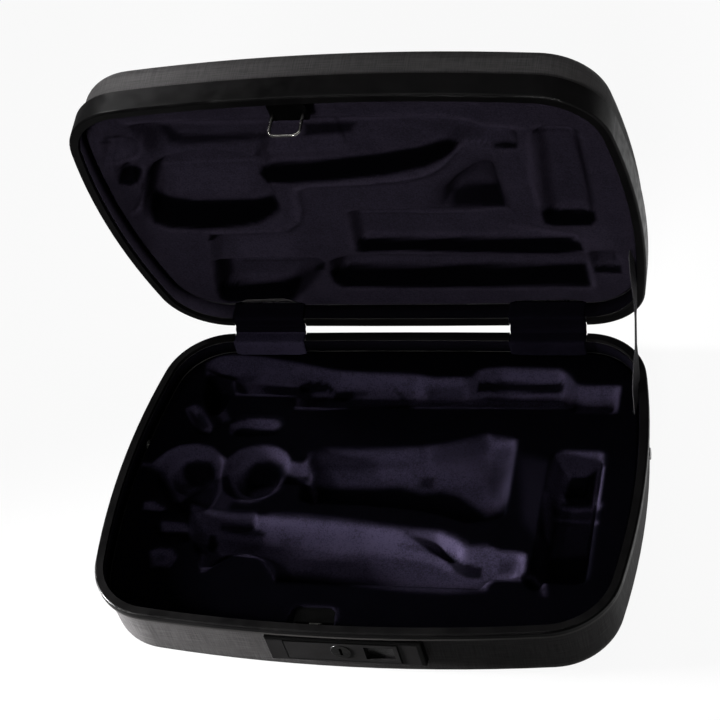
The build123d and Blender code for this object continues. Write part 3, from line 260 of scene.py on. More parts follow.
def make_vinyl(name, lid):
    """Charcoal vinyl with a fine linen weave; threads run along and across each face."""
    paint = Paint(name, (0.038, 0.037, 0.0373), 0.5, specular=0.07)
    coords = paint.tree.nodes["Texture Coordinate"]
    place, normal = paint.place, coords.outputs["Normal"]
    if lid:
        turned = []
        for source, centre in ((place, (0, HINGE_Y * MM, HINGE_Z * MM)), (normal, (0, 0, 0))):
            turn = paint.node("ShaderNodeVectorRotate", rotation_type="X_AXIS")
            turn.inputs["Center"].default_value = centre
            turn.inputs["Angle"].default_value = LID_OPEN
            paint.link(source, turn.inputs["Vector"])
            turned.append(turn.outputs["Vector"])
        place, normal = turned
    x, y, z = paint.axes(place)
    facing_x, facing_y, facing_z = (paint.math("ABSOLUTE", axis) for axis in paint.axes(normal))
    flat = paint.math("GREATER_THAN", facing_z, FLAT_FROM)
    side = paint.math("GREATER_THAN", facing_x, facing_y)
    plane = paint.node("ShaderNodeCombineXYZ")
    paint.link(paint.choose(flat, paint.choose(side, x, y), x), plane.inputs[0])
    paint.link(paint.choose(flat, z, y), plane.inputs[1])
    fine, slow = 1.0 / THREAD_PITCH, 60.0
    warp = paint.noise((fine, slow, 1.0), 3.0, 0.6, plane.outputs[0])
    weft = paint.noise((slow, fine, 1.0), 3.0, 0.6, plane.outputs[0])
    weave = paint.math("ADD", paint.math("MULTIPLY", warp, 0.5), paint.math("MULTIPLY", weft, 0.5))
    # the weave fades out where its direction changes, so that no step shows there
    from_flat = paint.math("ABSOLUTE", paint.math("SUBTRACT", facing_z, FLAT_FROM))
    from_side = paint.math("ADD", flat, paint.math("ABSOLUTE", paint.math("SUBTRACT", facing_x, facing_y)))
    kept = paint.span(paint.math("MINIMUM", from_flat, from_side), 0.01, 0.09)
    weave = paint.math("ADD", 0.5, paint.math("MULTIPLY", paint.math("SUBTRACT", weave, 0.5), kept))
    blotch = paint.noise(45.0, 3.0)
    grey = paint.mix(paint.span(weave, 0.36, 0.64), (0.022, 0.0209, 0.0212), (0.046, 0.0441, 0.0447))
    paint.colour(paint.mix(paint.span(blotch, 0.35, 0.75, 0.0, 0.3), grey, (0.024, 0.0229, 0.0228)))
    paint.roughness(paint.span(weave, 0.3, 0.7, 0.62, 0.46))
    paint.bump(weave, 0.25, 0.0002)
    return paint.material


def make_band(name, lip=None):
    """Near-black satin plastic of the rims. A lip, given by its two heights, gets a painted highlight that is paler
    toward the right.
    """
    paint = Paint(name, (0.003, 0.0028, 0.003), 0.3, specular=0.06)
    cloud = paint.noise(35.0, 4.0)
    grey = paint.mix(paint.span(cloud, 0.3, 0.7), (0.0018, 0.0017, 0.0018), (0.0036, 0.0034, 0.0035))
    if lip:
        # painted highlight: a paler grey along the lip, rising toward the right
        x, _, z = paint.axes(paint.place)
        edge = paint.math("MULTIPLY", paint.math("GREATER_THAN", z, lip[0]), paint.math("LESS_THAN", z, lip[1]))
        rightward = paint.span(x, -0.12, 0.08, 0.15, 1.0)
        grey = paint.mix(paint.math("MULTIPLY", edge, rightward), grey, (0.06, 0.057, 0.056))
    paint.colour(grey)
    paint.roughness(paint.span(paint.noise(160.0, 3.0), 0.3, 0.7, 0.28, 0.4))
    paint.bump(paint.noise(2600.0, 2.0), 0.05, 0.0001)
    return paint.material


def make_plush(name, dark, lit, painted_light, grain=0.3):
    """Short plush. Its colour is painted light and shade, from dark to lit.

    The painted light is stored on the mesh, or falls off from the left end; where it is even, only a random tone is
    left.
    """
    paint = Paint(name, lit, 0.9, specular=0.0)
    pile = paint.noise(1000.0, 4.0, 0.7)
    brushed = paint.noise(430.0, 3.0, 0.6)
    cloud = paint.noise(70.0, 3.0, 0.6)
    texture = paint.math("ADD", paint.math("MULTIPLY", pile, 0.62), paint.math("MULTIPLY", brushed, 0.2))
    texture = paint.math("ADD", texture, paint.math("MULTIPLY", cloud, 0.18))
    shade = paint.span(texture, 0.34, 0.66, 1.0 - grain, 1.0 + grain)
    # painted light and shade, times a random grain
    if painted_light == "painted":
        painted_light_and_tone = paint.node("ShaderNodeAttribute", attribute_name="painted_light_and_tone").outputs["Fac"]
    # painted light: lit at the left end, dark from there on
    elif painted_light == "left":
        painted_light_and_tone = paint.span(paint.axes(paint.place)[0], -0.145, -0.095, 0.9, 0.05)
    else:
        painted_light_and_tone = paint.span(cloud, 0.2, 0.8, 0.45, 0.6)
    paint.colour(paint.mix(paint.math("MULTIPLY", painted_light_and_tone, shade, clamp=True), dark, lit))
    paint.bump(pile, 0.5, 0.0006)
    return paint.material


def make_lacquer(name, low, high, roughness, specular):
    """Smooth dark lacquer with faint clouds and fine scratches."""
    paint = Paint(name, low, roughness, specular=specular)
    paint.colour(paint.mix(paint.span(paint.noise(90.0, 4.0), 0.3, 0.7), low, high))
    scratch = paint.noise((120.0, 400.0, 3500.0), 3.0, 0.7)
    paint.roughness(paint.span(scratch, 0.3, 0.7, roughness - 0.06, roughness + 0.08))
    paint.bump(paint.noise(900.0, 2.0), 0.04, 0.0001)
    return paint.material


def rectangle_distance(paint, where, low, high):
    """Distance outside a rectangle in X and Z; negative inside."""
    sides = []
    for axis in (0, 2):
        middle, half = (low[axis] + high[axis]) / 2, (high[axis] - low[axis]) / 2
        off = paint.math("ABSOLUTE", paint.math("SUBTRACT", where[axis], middle))
        sides.append(paint.math("SUBTRACT", off, half))
    return paint.math("MAXIMUM", *sides)


def make_lock_face(name, low, high, border):
    """Grey lacquer of the lock, with painted shade: black round the panel and on the plate's upper and right edges."""
    paint = Paint(name, low, 0.34, specular=0.05)
    grey = paint.mix(paint.span(paint.noise(90.0, 4.0), 0.3, 0.7), low, high)
    where = paint.axes(paint.place)
    outside = rectangle_distance(paint, where, *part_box("lock_panel"))
    # painted shade: a black border on the panel; on the plate the groove round the panel and its upper and right edges
    if border == "panel":
        black = paint.math("GREATER_THAN", outside, -0.45 * MM)
    else:
        plate_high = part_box("lock_plate")[1]
        groove = paint.math("LESS_THAN", outside, 0.7 * MM)
        upper = paint.math("GREATER_THAN", where[2], plate_high.z - 2.0 * MM)
        right = paint.math("GREATER_THAN", where[0], plate_high.x - 2.6 * MM)
        black = paint.math("MAXIMUM", groove, paint.math("MAXIMUM", upper, right))
    paint.colour(paint.mix(black, grey, PAINTED_SHADE_BLACK))
    return paint.material


def make_metal(name, low, high, roughness):
    """Plated metal with a faint brushed grain."""
    paint = Paint(name, high, roughness, metallic=1.0)
    grain = paint.noise((200.0, 3000.0, 3000.0), 3.0, 0.6)
    paint.colour(paint.mix(paint.span(grain, 0.25, 0.75), low, high))
    paint.roughness(paint.span(paint.noise(300.0, 3.0), 0.3, 0.7, roughness - 0.06, roughness + 0.08))
    paint.bump(grain, 0.06, 0.0001)
    return paint.material


def make_ribbon_cloth():
    """Dark ribbed ribbon: fine ribs across its width."""
    paint = Paint("ribbon_cloth", (0.012, 0.011, 0.016), 0.8, specular=0.25)
    wave = paint.node("ShaderNodeTexWave", wave_type="BANDS", bands_direction="Z")
    paint.link(paint.scaled((1.0, 1.0, 1100.0)), wave.inputs["Vector"])
    wave.inputs["Scale"].default_value = 1.0
    wave.inputs["Distortion"].default_value = 0.6
    ribs = wave.outputs["Fac"]
    paint.colour(paint.mix(ribs, (0.014, 0.0133, 0.015), (0.032, 0.030, 0.034)))
    paint.bump(ribs, 0.4, 0.0003)
    return paint.material


VINYL_BASE = make_vinyl("linen_vinyl_base", False)
VINYL_LID = make_vinyl("linen_vinyl_lid", True)
LID_BAND = make_band("rim_band_lid")
# the base rim's lip carries a painted highlight
BASE_BAND = make_band("rim_band_base", (RIM_LOW.z * MM, (RIM_LOW.z + 1.5) * MM))
# dark and lit ends of the plush's painted light and shade
PLUSH_DARK = (0.0004, 0.0004, 0.0007)
LID_PLUSH_LIT = (0.0207, 0.0172, 0.0272)
BASE_PLUSH = make_plush("base_plush", PLUSH_DARK, (0.020, 0.0168, 0.0305), "painted", 0.55)
LID_PLUSH = make_plush("lid_plush", PLUSH_DARK, LID_PLUSH_LIT, "painted", 0.4)
# inside of the walls: a darker copy of the plush, painted shade with a random tone
WALL_PLUSH = make_plush("wall_plush", (0.0008, 0.0008, 0.0013), (0.0035, 0.003, 0.005), "even")
# lid walls: painted light, lit at the left end only
LID_WALL_PLUSH = make_plush("lid_wall_plush", PLUSH_DARK, LID_PLUSH_LIT, "left")
RIBBON_CLOTH = make_ribbon_cloth()
PLATE_GREY = make_lock_face("plate_lacquer", (0.0098, 0.0092, 0.0095), (0.0138, 0.0132, 0.0136), "plate")
PANEL_GREY = make_lock_face("panel_lacquer", (0.0108, 0.0102, 0.0105), (0.0154, 0.0148, 0.0152), "panel")
SLIDER_GREY = make_lacquer("slider_lacquer", (0.012, 0.0115, 0.012), (0.02, 0.019, 0.02), 0.28, 0.3)
BLACK = make_lacquer("black_moulding", (0.0004, 0.0004, 0.0004), (0.0011, 0.0011, 0.0011), 0.45, 0.02)
DARK_STEEL = make_lacquer("dark_cylinder", (0.002, 0.002, 0.002), (0.009, 0.0087, 0.0085), 0.28, 0.12)
STEEL = make_metal("plated_steel", (0.42, 0.41, 0.4), (0.6, 0.59, 0.57), 0.32)
BRIGHT = make_metal("bright_wire_nickel", (0.16, 0.155, 0.15), (0.28, 0.27, 0.26), 0.22)
STUD_METAL = make_metal("stud_gunmetal", (0.10, 0.10, 0.10), (0.24, 0.235, 0.23), 0.26)

NODE_FINISH = {
    "base_shell": VINYL_BASE, "lid_shell": VINYL_LID, "base_rim": BASE_BAND, "lid_rim": LID_BAND,
    "hinge_base_rivets": STEEL, "hinge_lid_rivets": STEEL, "lock_plate": PLATE_GREY,
    "lock_panel": PANEL_GREY, "lock_slider": SLIDER_GREY, "latch_bolt": STEEL, "lock_housing": BLACK,
    "lock_screws": STEEL, "key_cylinder": DARK_STEEL, "lock_cam": STEEL, "catch_block": BLACK,
    "catch_loop": BRIGHT, "catch_screws": STEEL, "strap_washers": STEEL,
    "strap_stud_left": STUD_METAL, "strap_stud_right": STUD_METAL,
    "hinge_left_base_leaf": STEEL, "hinge_right_base_leaf": STEEL, "hinge_left_lid_leaf": STEEL,
    "hinge_right_lid_leaf": STEEL, "hinge_left_pin": STEEL, "hinge_right_pin": STEEL,
}
for node, finish in NODE_FINISH.items():
    thing = frame["nodes"][node]
    thing.data.materials.clear()
    thing.data.materials.append(finish)


# ---- Mesh helpers ----------------------------------------------------------------
def add_mesh(name, points_mm, faces, material, smooth=True):
    mesh = bpy.data.meshes.new(name)
    mesh.from_pydata([tuple(p) for p in np.array(points_mm, float) * MM], [], faces)
    mesh.validate()
    mesh.update()
    mesh.materials.append(material)
    if smooth:
        mesh.shade_smooth()
    else:
        mesh.shade_flat()
    thing = bpy.data.objects.new(name, mesh)
    bpy.context.scene.collection.objects.link(thing)
    return thing


def swept_faces(rings, size, closed):
    """Faces along a run of rings of points, with an end face at each open end."""
    faces = []
    for i in range(rings if closed else rings - 1):
        a, b = size * i, size * ((i + 1) % rings)
        faces += [(a + s, a + (s + 1) % size, b + (s + 1) % size, b + s) for s in range(size)]
    if not closed:
        faces += [tuple(range(size - 1, -1, -1)), tuple(range((rings - 1) * size, rings * size))]
    return faces


def set_painted_light_and_tone(mesh, values):
    mesh.attributes.new("painted_light_and_tone", "FLOAT", "POINT").data.foreach_set("value", values)


def unit(vectors):
    return vectors / np.linalg.norm(vectors, axis=1)[:, None]


def plan(points):
    """X and Y of points given as X and the distance forward from the rear edge of the rims."""
    return np.array(points, float) * (1, -1) + (0, HALF_DEPTH)


def segment_distance(ax, ay, bx, by, x, y):
    """Distance from every point to one segment."""
    dx, dy = bx - ax, by - ay
    t = np.clip(((x - ax) * dx + (y - ay) * dy) / max(dx * dx + dy * dy, 1e-9), 0, 1)
    return np.hypot(x - ax - t * dx, y - ay - t * dy)


def inside_distance(points, x, y):
    """How far inside a closed outline each point lies; negative outside."""
    best = np.full(x.shape, 1e9)
    inside = np.zeros(x.shape, bool)
    for (ax, ay), (bx, by) in zip(points, np.roll(points, -1, axis=0)):
        best = np.minimum(best, segment_distance(ax, ay, bx, by, x, y))
        crosses = (ay > y) != (by > y)
        if crosses.any():
            inside ^= crosses & (x < (bx - ax) * (y - ay) / (by - ay if by != ay else 1e-9) + ax)
    return np.where(inside, best, -best)


def line_distance(points, x, y):
    best = np.full(x.shape, 1e9)
    for (ax, ay), (bx, by) in zip(points[:-1], points[1:]):
        best = np.minimum(best, segment_distance(ax, ay, bx, by, x, y))
    return best


def blurred(values, sigma):
    """Gaussian blur of a grid; sigma is in grid steps."""
    reach = int(math.ceil(3 * sigma))
    weights = np.exp(-0.5 * (np.arange(-reach, reach + 1) / sigma) ** 2)
    weights /= weights.sum()
    for axis in (0, 1):
        padding = [(reach, reach) if a == axis else (0, 0) for a in (0, 1)]
        padded = np.pad(values, padding, mode="edge")
        size = values.shape[axis]
        values = sum(w * np.take(padded, range(k, k + size), axis) for k, w in enumerate(weights))
    return values


def smooth_step(t):
    t = np.clip(t, 0, 1)
    return t * t * (3 - 2 * t)


def round_step(t):
    """A quarter ellipse: steep at the edge, level at the bottom."""
    t = np.clip(t, 0, 1)
    return np.sqrt(1 - (1 - t) ** 2)


# ---- Beds of the two linings --------------------------------------------------------
# A bed is: outline on the plan, depth, width of its wall, corner softness and the section of its wall.
STEP = 1.0                  # grid of the plush, mm
BASE_SOFTNESS = 1.2
LID_SOFTNESS = 1.9

BASE_BEDS = [
    # lower joint, its keys and its end socket
    ([(-136, 22), (-133, 15), (-124, 10.5), (-112, 9.5), (-96, 11.6), (-77, 15), (-59, 20), (-40, 23.5), (2, 24),
        (17, 28), (41, 28), (46, 22), (60, 19.5), (99, 20), (106, 23), (112, 33), (139, 34.4), (139, 57), (112, 57),
        (110, 53), (10, 53.5), (-16, 55), (-64, 55), (-66, 45), (-107, 44.5), (-113, 36), (-118, 29), (-130, 27)],
        16.0, 10.0, 1.5, smooth_step),
    ([(52, 27), (103, 27), (103, 35), (52, 35)], 20.5, 3.0, 1.0, smooth_step),
    ([(-68, 26), (-52, 26), (-44, 31), (-46, 36), (-68, 36)], 19.0, 3.0, 1.0, smooth_step),
    ([(-46, 33), (-36, 33), (-36, 40), (-46, 40)], 19.0, 3.0, 1.5, smooth_step),
    # groove beside the tenon end, brush slot, ligature rest
    ([(-131, 24), (-115, 24), (-110, 44), (-113, 61), (-121, 61), (-128, 45)], 18.0, 3.5, 2.0, smooth_step),
    ([(-138, 54), (-130, 54), (-114, 72), (-116, 77), (-123, 77)], 9.0, 4.0, 2.0, round_step),
    ([(-104, 67), (-98, 63.5), (-74, 63.5), (-69, 68), (-71, 76), (-99, 78), (-104, 74)], 7.5, 7.0, 2.5, round_step),
    # saddle between the wells and the upper joint, neck of the bell, bell
    ([(-141, 106), (-128, 94), (-106, 96), (-98, 118), (-100, 136), (-116, 141), (-127, 131), (-137, 117)], 6.0, 8.0,
        3.0, round_step),
    ([(-62, 101), (-42, 100), (-42, 115), (-62, 114)], 11.0, 7.0, 1.5, round_step),
    ([(-44, 90), (-38, 88.5), (0, 87.5), (28, 85.5), (47, 80.5), (62, 75.5), (80, 79), (81, 136), (62, 140), (47, 135),
        (28, 131), (0, 129), (-44, 128)], 21.0, 19.0, 2.0, round_step),
    ([(-37, 120), (-33, 120), (-33, 131), (-37, 131)], 6.0, 2.0, 0.8, smooth_step),
    # mouthpiece
    ([(104, 89), (107, 86), (134, 86), (136, 89), (136, 180), (133, 182), (108, 182), (104, 178)], 15.0, 6.0, 1.5,
        smooth_step),
    ([(109, 92), (126, 92), (126, 110), (109, 110)], 21.0, 3.0, 1.5, smooth_step),
    # upper joint with its key recesses, finger and reed hollows
    ([(-115, 133), (-59, 142), (0, 145), (28, 148.5), (45, 151), (62, 159), (95, 160.5), (99, 163), (98, 180),
        (80, 183), (78, 189), (-46, 189), (-49, 181), (-56, 173), (-66, 170), (-76, 171), (-84, 177), (-88, 181),
        (-95, 181), (-99, 166), (-106, 161), (-115, 164)], 16.0, 10.0, 1.5, smooth_step),
    ([(-98, 139), (-70, 139), (-70, 145), (-98, 145)], 19.0, 2.5, 1.0, smooth_step),
    ([(-101, 145), (-95, 145), (-95, 168), (-101, 168)], 19.0, 2.5, 1.0, smooth_step),
    ([(20, 147), (44, 149), (60, 158), (67, 165), (52, 164), (38, 156), (20, 151)], 20.5, 4.0, 2.0, smooth_step),
    ([(-131, 147), (-109, 146), (-109, 157), (-131, 156)], 8.0, 5.0, 1.5, round_step),
    ([(-130, 168), (-124, 165), (-116, 167), (-112, 174), (-117, 181), (-126, 181), (-130, 176)], 6.0, 7.0, 2.0,
        round_step),
    ([(-145, 133), (-136, 131), (-128, 135), (-129, 140), (-144, 139)], 5.0, 4.0, 1.5, round_step),
    ([(97, 176), (108, 176), (113, 186), (106, 187)], 5.0, 5.0, 2.0, round_step),
]
WELLS = [(-121.5, 106.5, 20.0), (-78.5, 107.0, 21.0)]       # centre on the plan, radius of the mouth
WELL_MOUTH_DEPTH = 9.0      # of the bowl round each well
WELL_WALL = 3.0
WELL_RADIUS = 13.2
WELL_DEPTH = 26.0
NOTCH = [(-31, 205), (-5, 205), (-4, 232), (-32, 232)]      # for the lock's housing
NOTCH_DEPTH = 15.6

LID_BEDS = [
    ([(-123, 16), (-117, 10), (-80, 9), (-73, 13), (-42, 56), (-46, 59.5), (-111, 59.5), (-117, 40)], 20.0, 3.5, 1.5,
        smooth_step),
    ([(-41, 34), (-38, 28), (0, 28), (60, 27), (121, 26), (121, 60), (-25, 60), (-37, 55)], 18.5, 3.0, 1.0,
        smooth_step),
    ([(-18, 67), (60, 65), (122, 64.5), (121, 79), (104, 84), (92, 91), (86, 100), (84, 109), (-13, 108)], 11.0, 3.0,
        1.0, smooth_step),
    ([(47, 111), (83, 111), (83, 153), (74, 149), (62, 140), (52, 128)], 16.0, 16.0, 1.0, round_step),
    ([(-141, 101), (-133, 93), (-100, 91.5), (-74, 93), (-61, 99), (-55, 109), (-54, 122), (-55, 160), (-117, 162),
        (-122, 196), (-100, 197), (0, 196.5), (0, 150), (-54, 150), (-54, 162), (-118, 160), (-128, 146), (-140,
        118)], 19.0, 5.0, 2.5, smooth_step),
    ([(-56, 141), (-20, 139.5), (28, 143), (45, 149), (58, 158), (70, 171), (86, 165), (100, 164), (101, 180),
        (84, 183), (67, 193), (0, 196.5), (-56, 197)], 13.0, 3.5, 1.5, smooth_step),
    ([(-101, 180), (15, 182), (22, 196), (-101, 197)], 22.0, 4.0, 1.5, smooth_step),
    ([(105, 91), (132, 91), (134, 108), (135, 178), (131, 181), (114, 181), (110, 175), (106, 120)], 12.0, 4.0, 2.0,
        smooth_step),
    ([(123, 42), (141, 40), (142, 62), (124, 62)], 7.0, 3.5, 1.5, smooth_step),
    ([(-146, 140), (-138, 138), (-127, 157), (-134, 162), (-143, 154)], 9.0, 3.5, 2.0, smooth_step),
    ([(-144, 164), (-124, 167), (-120, 182), (-128, 186), (-143, 184)], 4.0, 6.0, 3.0, round_step),
]
LID_RIDGES = [
    [(-112, 60.5), (-80, 61.5), (-48, 61)],
    [(-108, 84), (-104, 90), (-80, 90), (-56, 91), (-45, 99), (-39, 115), (-38, 130), (-30, 135), (28, 137), (45, 143),
     (58, 153), (69, 169), (78, 172)],
    [(-17, 72), (-12, 108), (20, 109.5), (60, 108), (83, 110)],
    [(83, 112), (84, 140), (86, 160)],
    [(101, 163), (104, 130), (103, 100)],
    [(-122, 198), (-60, 199), (0, 198.5), (66, 195.5), (84, 186), (100, 183)],
    [(-124, 24), (-116, 60), (-110, 78)],
]
SLOT_SIDE_ROOM, SLOT_FROM_REAR, SLOT_DEPTH = 0.7, 8.9, 5.0
CATCH_ROOM, CATCH_HOLLOW = 0.7, 6.2
RIDGE_HEIGHT = 0.9
RIDGE_WIDTH = 1.3
LID_DEEPEST = 22.4

# ---- Painted light and shade of the plush -----------------------------------------------
# Short plush is painted from near black to violet grey: this is painted light and shade.
# Each row is the painted light (0 dark, 1 lit), the softness of its border or the width of its
# line in mm, and points on the plane of the plush, as they are seen from the camera's place.
# The value is stored on the mesh, so it stays on the plush in every view.
BASE_PAINTED_LIGHT = 0.0
BASE_PAINTED_LIGHT_AREAS = [
    # lower joint
    (0.62, 4.0, [(-134, 18), (-128, 12), (-118, 10.5), (-100, 12), (-85, 15), (-70, 18), (-45, 24), (-20, 26), (8, 27),
        (22, 29.5), (45, 29), (48, 24), (54, 21.5), (65, 20.5), (100, 22), (104, 26), (111, 35), (111, 53), (60, 53.5),
        (15, 54), (8, 52), (-12, 54), (-34, 55), (-62, 56), (-66, 45.5), (-106, 44.5), (-112, 35), (-108, 31),
        (-114, 27.5), (-131, 28)]),
    (0.85, 8.0, [(-92, 22), (-68, 22), (-66, 42), (-96, 42)]),
    (0.9, 5.0, [(-40, 26), (2, 29), (6, 50), (-18, 51), (-24, 40), (-40, 38)]),
    (0.85, 4.0, [(10, 31), (50, 30), (50, 52), (12, 52)]),
    (0.9, 3.0, [(50, 24), (102, 25), (104, 32), (106, 52), (48, 52)]),
    (0.4, 3.0, [(104, 27), (112, 35), (112, 52), (106, 52)]),
    (0.3, 5.0, [(-108, 28), (-97, 29), (-98, 34), (-107, 33)]),
    (0.0, 2.0, [(-66, 37), (-62, 33.5), (-48, 34), (-40, 42), (-52, 42.5), (-64, 43)]),
    (0.35, 3.0, [(-54, 47), (-45, 47), (-44, 53), (-54, 53)]),
    (0.0, 2.5, [(-41, 42), (-29, 41), (-26, 46), (-33, 50), (-41, 49)]),
    (0.3, 3.0, [(-29, 40), (-18, 41), (-20, 45), (-28, 47)]),
    (0.3, 2.5, [(-6, 36), (4, 42), (8, 51), (3, 49), (-2, 42)]),
    (0.34, 7.0, [(17, 37), (42, 37), (43, 50), (19, 50)]),
    (0.0, 2.0, [(50, 32.5), (104, 33), (104, 41.5), (50, 41)]),
    (0.66, 2.5, [(112, 35.5), (139, 35), (138.5, 57), (114, 57)]),
    (0.85, 4.0, [(116, 38), (127, 38), (127, 55), (118, 55)]),
    # groove, brush slot, ligature rest
    (0.3, 4.0, [(-116, 60), (-112, 56), (-106, 66), (-110, 67)]),
    (0.6, 2.0, [(-138, 57), (-133, 54), (-127, 57), (-120, 66), (-115, 72), (-116, 76.5), (-123, 76), (-130, 69),
        (-136, 61)]),
    (0.12, 2.0, [(-129, 61), (-125, 61), (-118, 72), (-121, 74), (-128, 67)]),
    (0.75, 2.5, [(-104, 70), (-98, 67), (-85, 64.5), (-75, 66), (-70.5, 70), (-74, 74), (-82, 73.5), (-95, 72),
        (-99, 74), (-101, 78), (-103, 76)]),
    # wells and the saddle between them
    (0.88, 3.0, [(-148, 102.5), (-141, 93), (-134, 88), (-122, 86.5), (-112, 89), (-105, 95), (-99, 98), (-93, 91),
        (-86, 88), (-76, 87), (-68, 88.5), (-62, 92), (-57, 99), (-50, 101), (-46, 95), (-44, 110), (-50, 111),
        (-57, 110), (-62, 121), (-68, 126), (-76, 130.5), (-83, 129.5), (-90, 119), (-96, 110), (-104, 117),
        (-113, 122), (-121, 132), (-128, 124), (-137, 111)]),
    (0.95, 4.0, [(-105, 100), (-99, 101), (-95, 110), (-99, 111)]),
    (0.0, 5.0, [(-127, 106), (-125, 101), (-118, 99), (-109, 100), (-104, 107), (-103, 116), (-110, 121), (-118, 120),
        (-124, 114)]),
    (0.0, 6.0, [(-83, 105), (-80, 100), (-72, 98), (-62, 101), (-57, 110), (-61, 117), (-70, 121), (-79, 124),
        (-84, 114)]),
    (0.2, 6.0, [(-103, 113), (-95, 113), (-86, 128), (-90, 137), (-104, 135), (-113, 128)]),
    # bell
    (0.66, 7.0, [(-46, 93), (-40, 91), (-20, 90), (0, 89), (20, 87), (40, 83.5), (55, 78.5), (63, 75.5), (68, 79),
        (80, 80), (81, 122), (78, 133), (72, 136), (64, 130), (54, 122), (42, 119), (30, 121), (15, 116), (0, 118),
        (-20, 118), (-38, 117), (-43, 108)]),
    (0.95, 10.0, [(30, 88), (64, 84), (64, 112), (40, 114), (30, 104)]),
    (0.45, 4.0, [(-38, 100.5), (-20, 100), (18, 98), (18, 102), (-20, 105), (-36, 105)]),
    (0.2, 4.0, [(28, 109), (36, 109), (35, 118), (27, 116)]),
    (0.3, 6.0, [(69, 86), (80, 83), (80, 126), (72, 124), (68, 108)]),
    # mouthpiece
    (0.82, 2.5, [(106, 89), (110, 87), (131, 87), (134, 89), (135, 99), (131, 101), (126, 106), (116, 106),
        (111, 101)]),
    (0.9, 5.0, [(106, 93), (112, 103), (118, 108), (117, 125), (111, 127), (105, 118), (104, 104)]),
    (0.0, 2.5, [(117, 107), (131, 107), (131, 129), (121, 129), (115, 122)]),
    (0.85, 2.0, [(132, 99), (136, 99), (136, 130), (132.5, 130)]),
    (0.13, 6.0, [(112, 141), (134, 141), (134, 163), (112, 165)]),
    (0.16, 5.0, [(111, 131), (134, 133), (134, 138), (111, 136)]),
    (0.8, 3.0, [(102.5, 118), (107, 118), (110.5, 138), (111, 156), (108, 150), (105, 136)]),
    (0.22, 5.0, [(103, 148), (110, 156), (113, 188), (107, 180)]),
    (0.12, 9.0, [(84, 90), (103, 95), (103, 150), (94, 140)]),
    # upper joint
    (0.62, 3.0, [(-113, 134), (-100, 138), (-80, 141), (-56, 141), (-56, 172), (-80, 170), (-85, 174), (-89, 181),
        (-93, 184), (-96, 177), (-97, 168), (-101, 163), (-106, 161), (-110, 152)]),
    (0.9, 9.0, [(-60, 141), (-40, 141), (-10, 144), (20, 148), (47, 150), (55, 153), (65, 160), (74, 159), (76, 172),
        (78, 188), (60, 190), (30, 189.5), (0, 186), (-20, 184), (-44, 183), (-49, 180), (-55, 173), (-60, 168)]),
    (0.68, 2.5, [(65, 161), (78, 158.5), (83, 161), (96, 162), (99, 166), (100, 178), (96, 181), (84, 182), (79, 187),
        (75, 180)]),
    (0.72, 2.0, [(-129, 148), (-112, 149), (-109, 155), (-127, 155)]),
    (0.1, 2.5, [(-90, 149), (-70, 149.5), (-60, 154), (-62, 157.5), (-75, 156), (-89, 153)]),
    (0.02, 2.5, [(-95, 156), (-91, 157), (-88, 164), (-89, 170), (-94, 168)]),
    (0.42, 5.0, [(-84, 159), (-62, 161), (-60, 168), (-80, 168)]),
    (0.55, 5.0, [(-48, 155), (-36, 155), (-36, 163), (-50, 163)]),
    (0.45, 3.0, [(22, 158), (50, 161), (56, 168), (45, 166), (24, 161)]),
    (0.04, 3.0, [(47, 164), (53, 163), (62, 170), (75, 173), (76, 182), (66, 181), (60, 178), (53, 170)]),
    (0.35, 3.0, [(84, 168), (97, 168), (97, 177), (84, 177)]),
    # small rests
    (0.75, 2.0, [(-144, 133), (-138, 133), (-128, 138), (-132, 140), (-144, 139)]),
    (0.75, 2.5, [(-130, 170), (-124, 167.5), (-116, 168.5), (-112, 174), (-114, 181), (-126, 181.5)]),
    (0.45, 3.0, [(-125, 172), (-119, 172), (-118, 177), (-124, 177)]),
]
BASE_PAINTED_LIGHT_LINES = [
    (0.95, 1.0, [(-106, 44), (-66, 45.3)]),
    (0.95, 1.0, [(-64, 55), (-45, 56), (-32, 54.6)]),
    (1.0, 1.0, [(10, 52), (14, 53.4), (60, 53), (111, 52.4)]),
    (0.7, 1.2, [(-64, 43.5), (-62, 54)]),
    (0.6, 1.4, [(-43, 100), (-41, 112), (-35, 129)]),
    (0.5, 1.4, [(-49, 112), (-42, 116), (-36, 124)]),
    (0.4, 1.6, [(-160, 103), (-150, 103.5), (-141, 108), (-133, 118), (-124, 131)]),
    (0.45, 1.8, [(-121, 130), (-112, 122.5), (-104, 119)]),
    (0.6, 2.0, [(-92, 113), (-83, 129), (-76, 130), (-68, 126), (-62, 120.5)]),
    (0.6, 2.0, [(110, 127), (116, 130), (124, 131), (132, 130), (136, 127)]),
    (0.45, 1.5, [(110, 138), (136, 139.5)]),
    (0.95, 0.9, [(106.5, 91), (112, 101), (117, 106.5)]),
    (0.95, 0.8, [(-84, 170.5), (-75, 170), (-60, 171.5), (-54, 174), (-49, 180), (-47, 187)]),
    (0.85, 1.6, [(60, 181), (68, 184), (77, 182.5)]),
    (0.7, 1.4, [(76, 170), (78, 188)]),
    (0.75, 1.2, [(98, 164), (99, 177)]),
    (0.7, 1.2, [(84, 181), (98, 181)]),
    (0.4, 1.6, [(100, 179), (106, 179), (111, 185), (113, 190)]),
    (0.15, 1.1, [(-31, 214), (-31, 207), (-27, 204.5), (-8, 204.5), (-4, 207), (-3, 214)]),
]
LINE_SHARE = 0.85           # how fully a line takes the place of what is under it
LID_PAINTED_LIGHT = 0.64
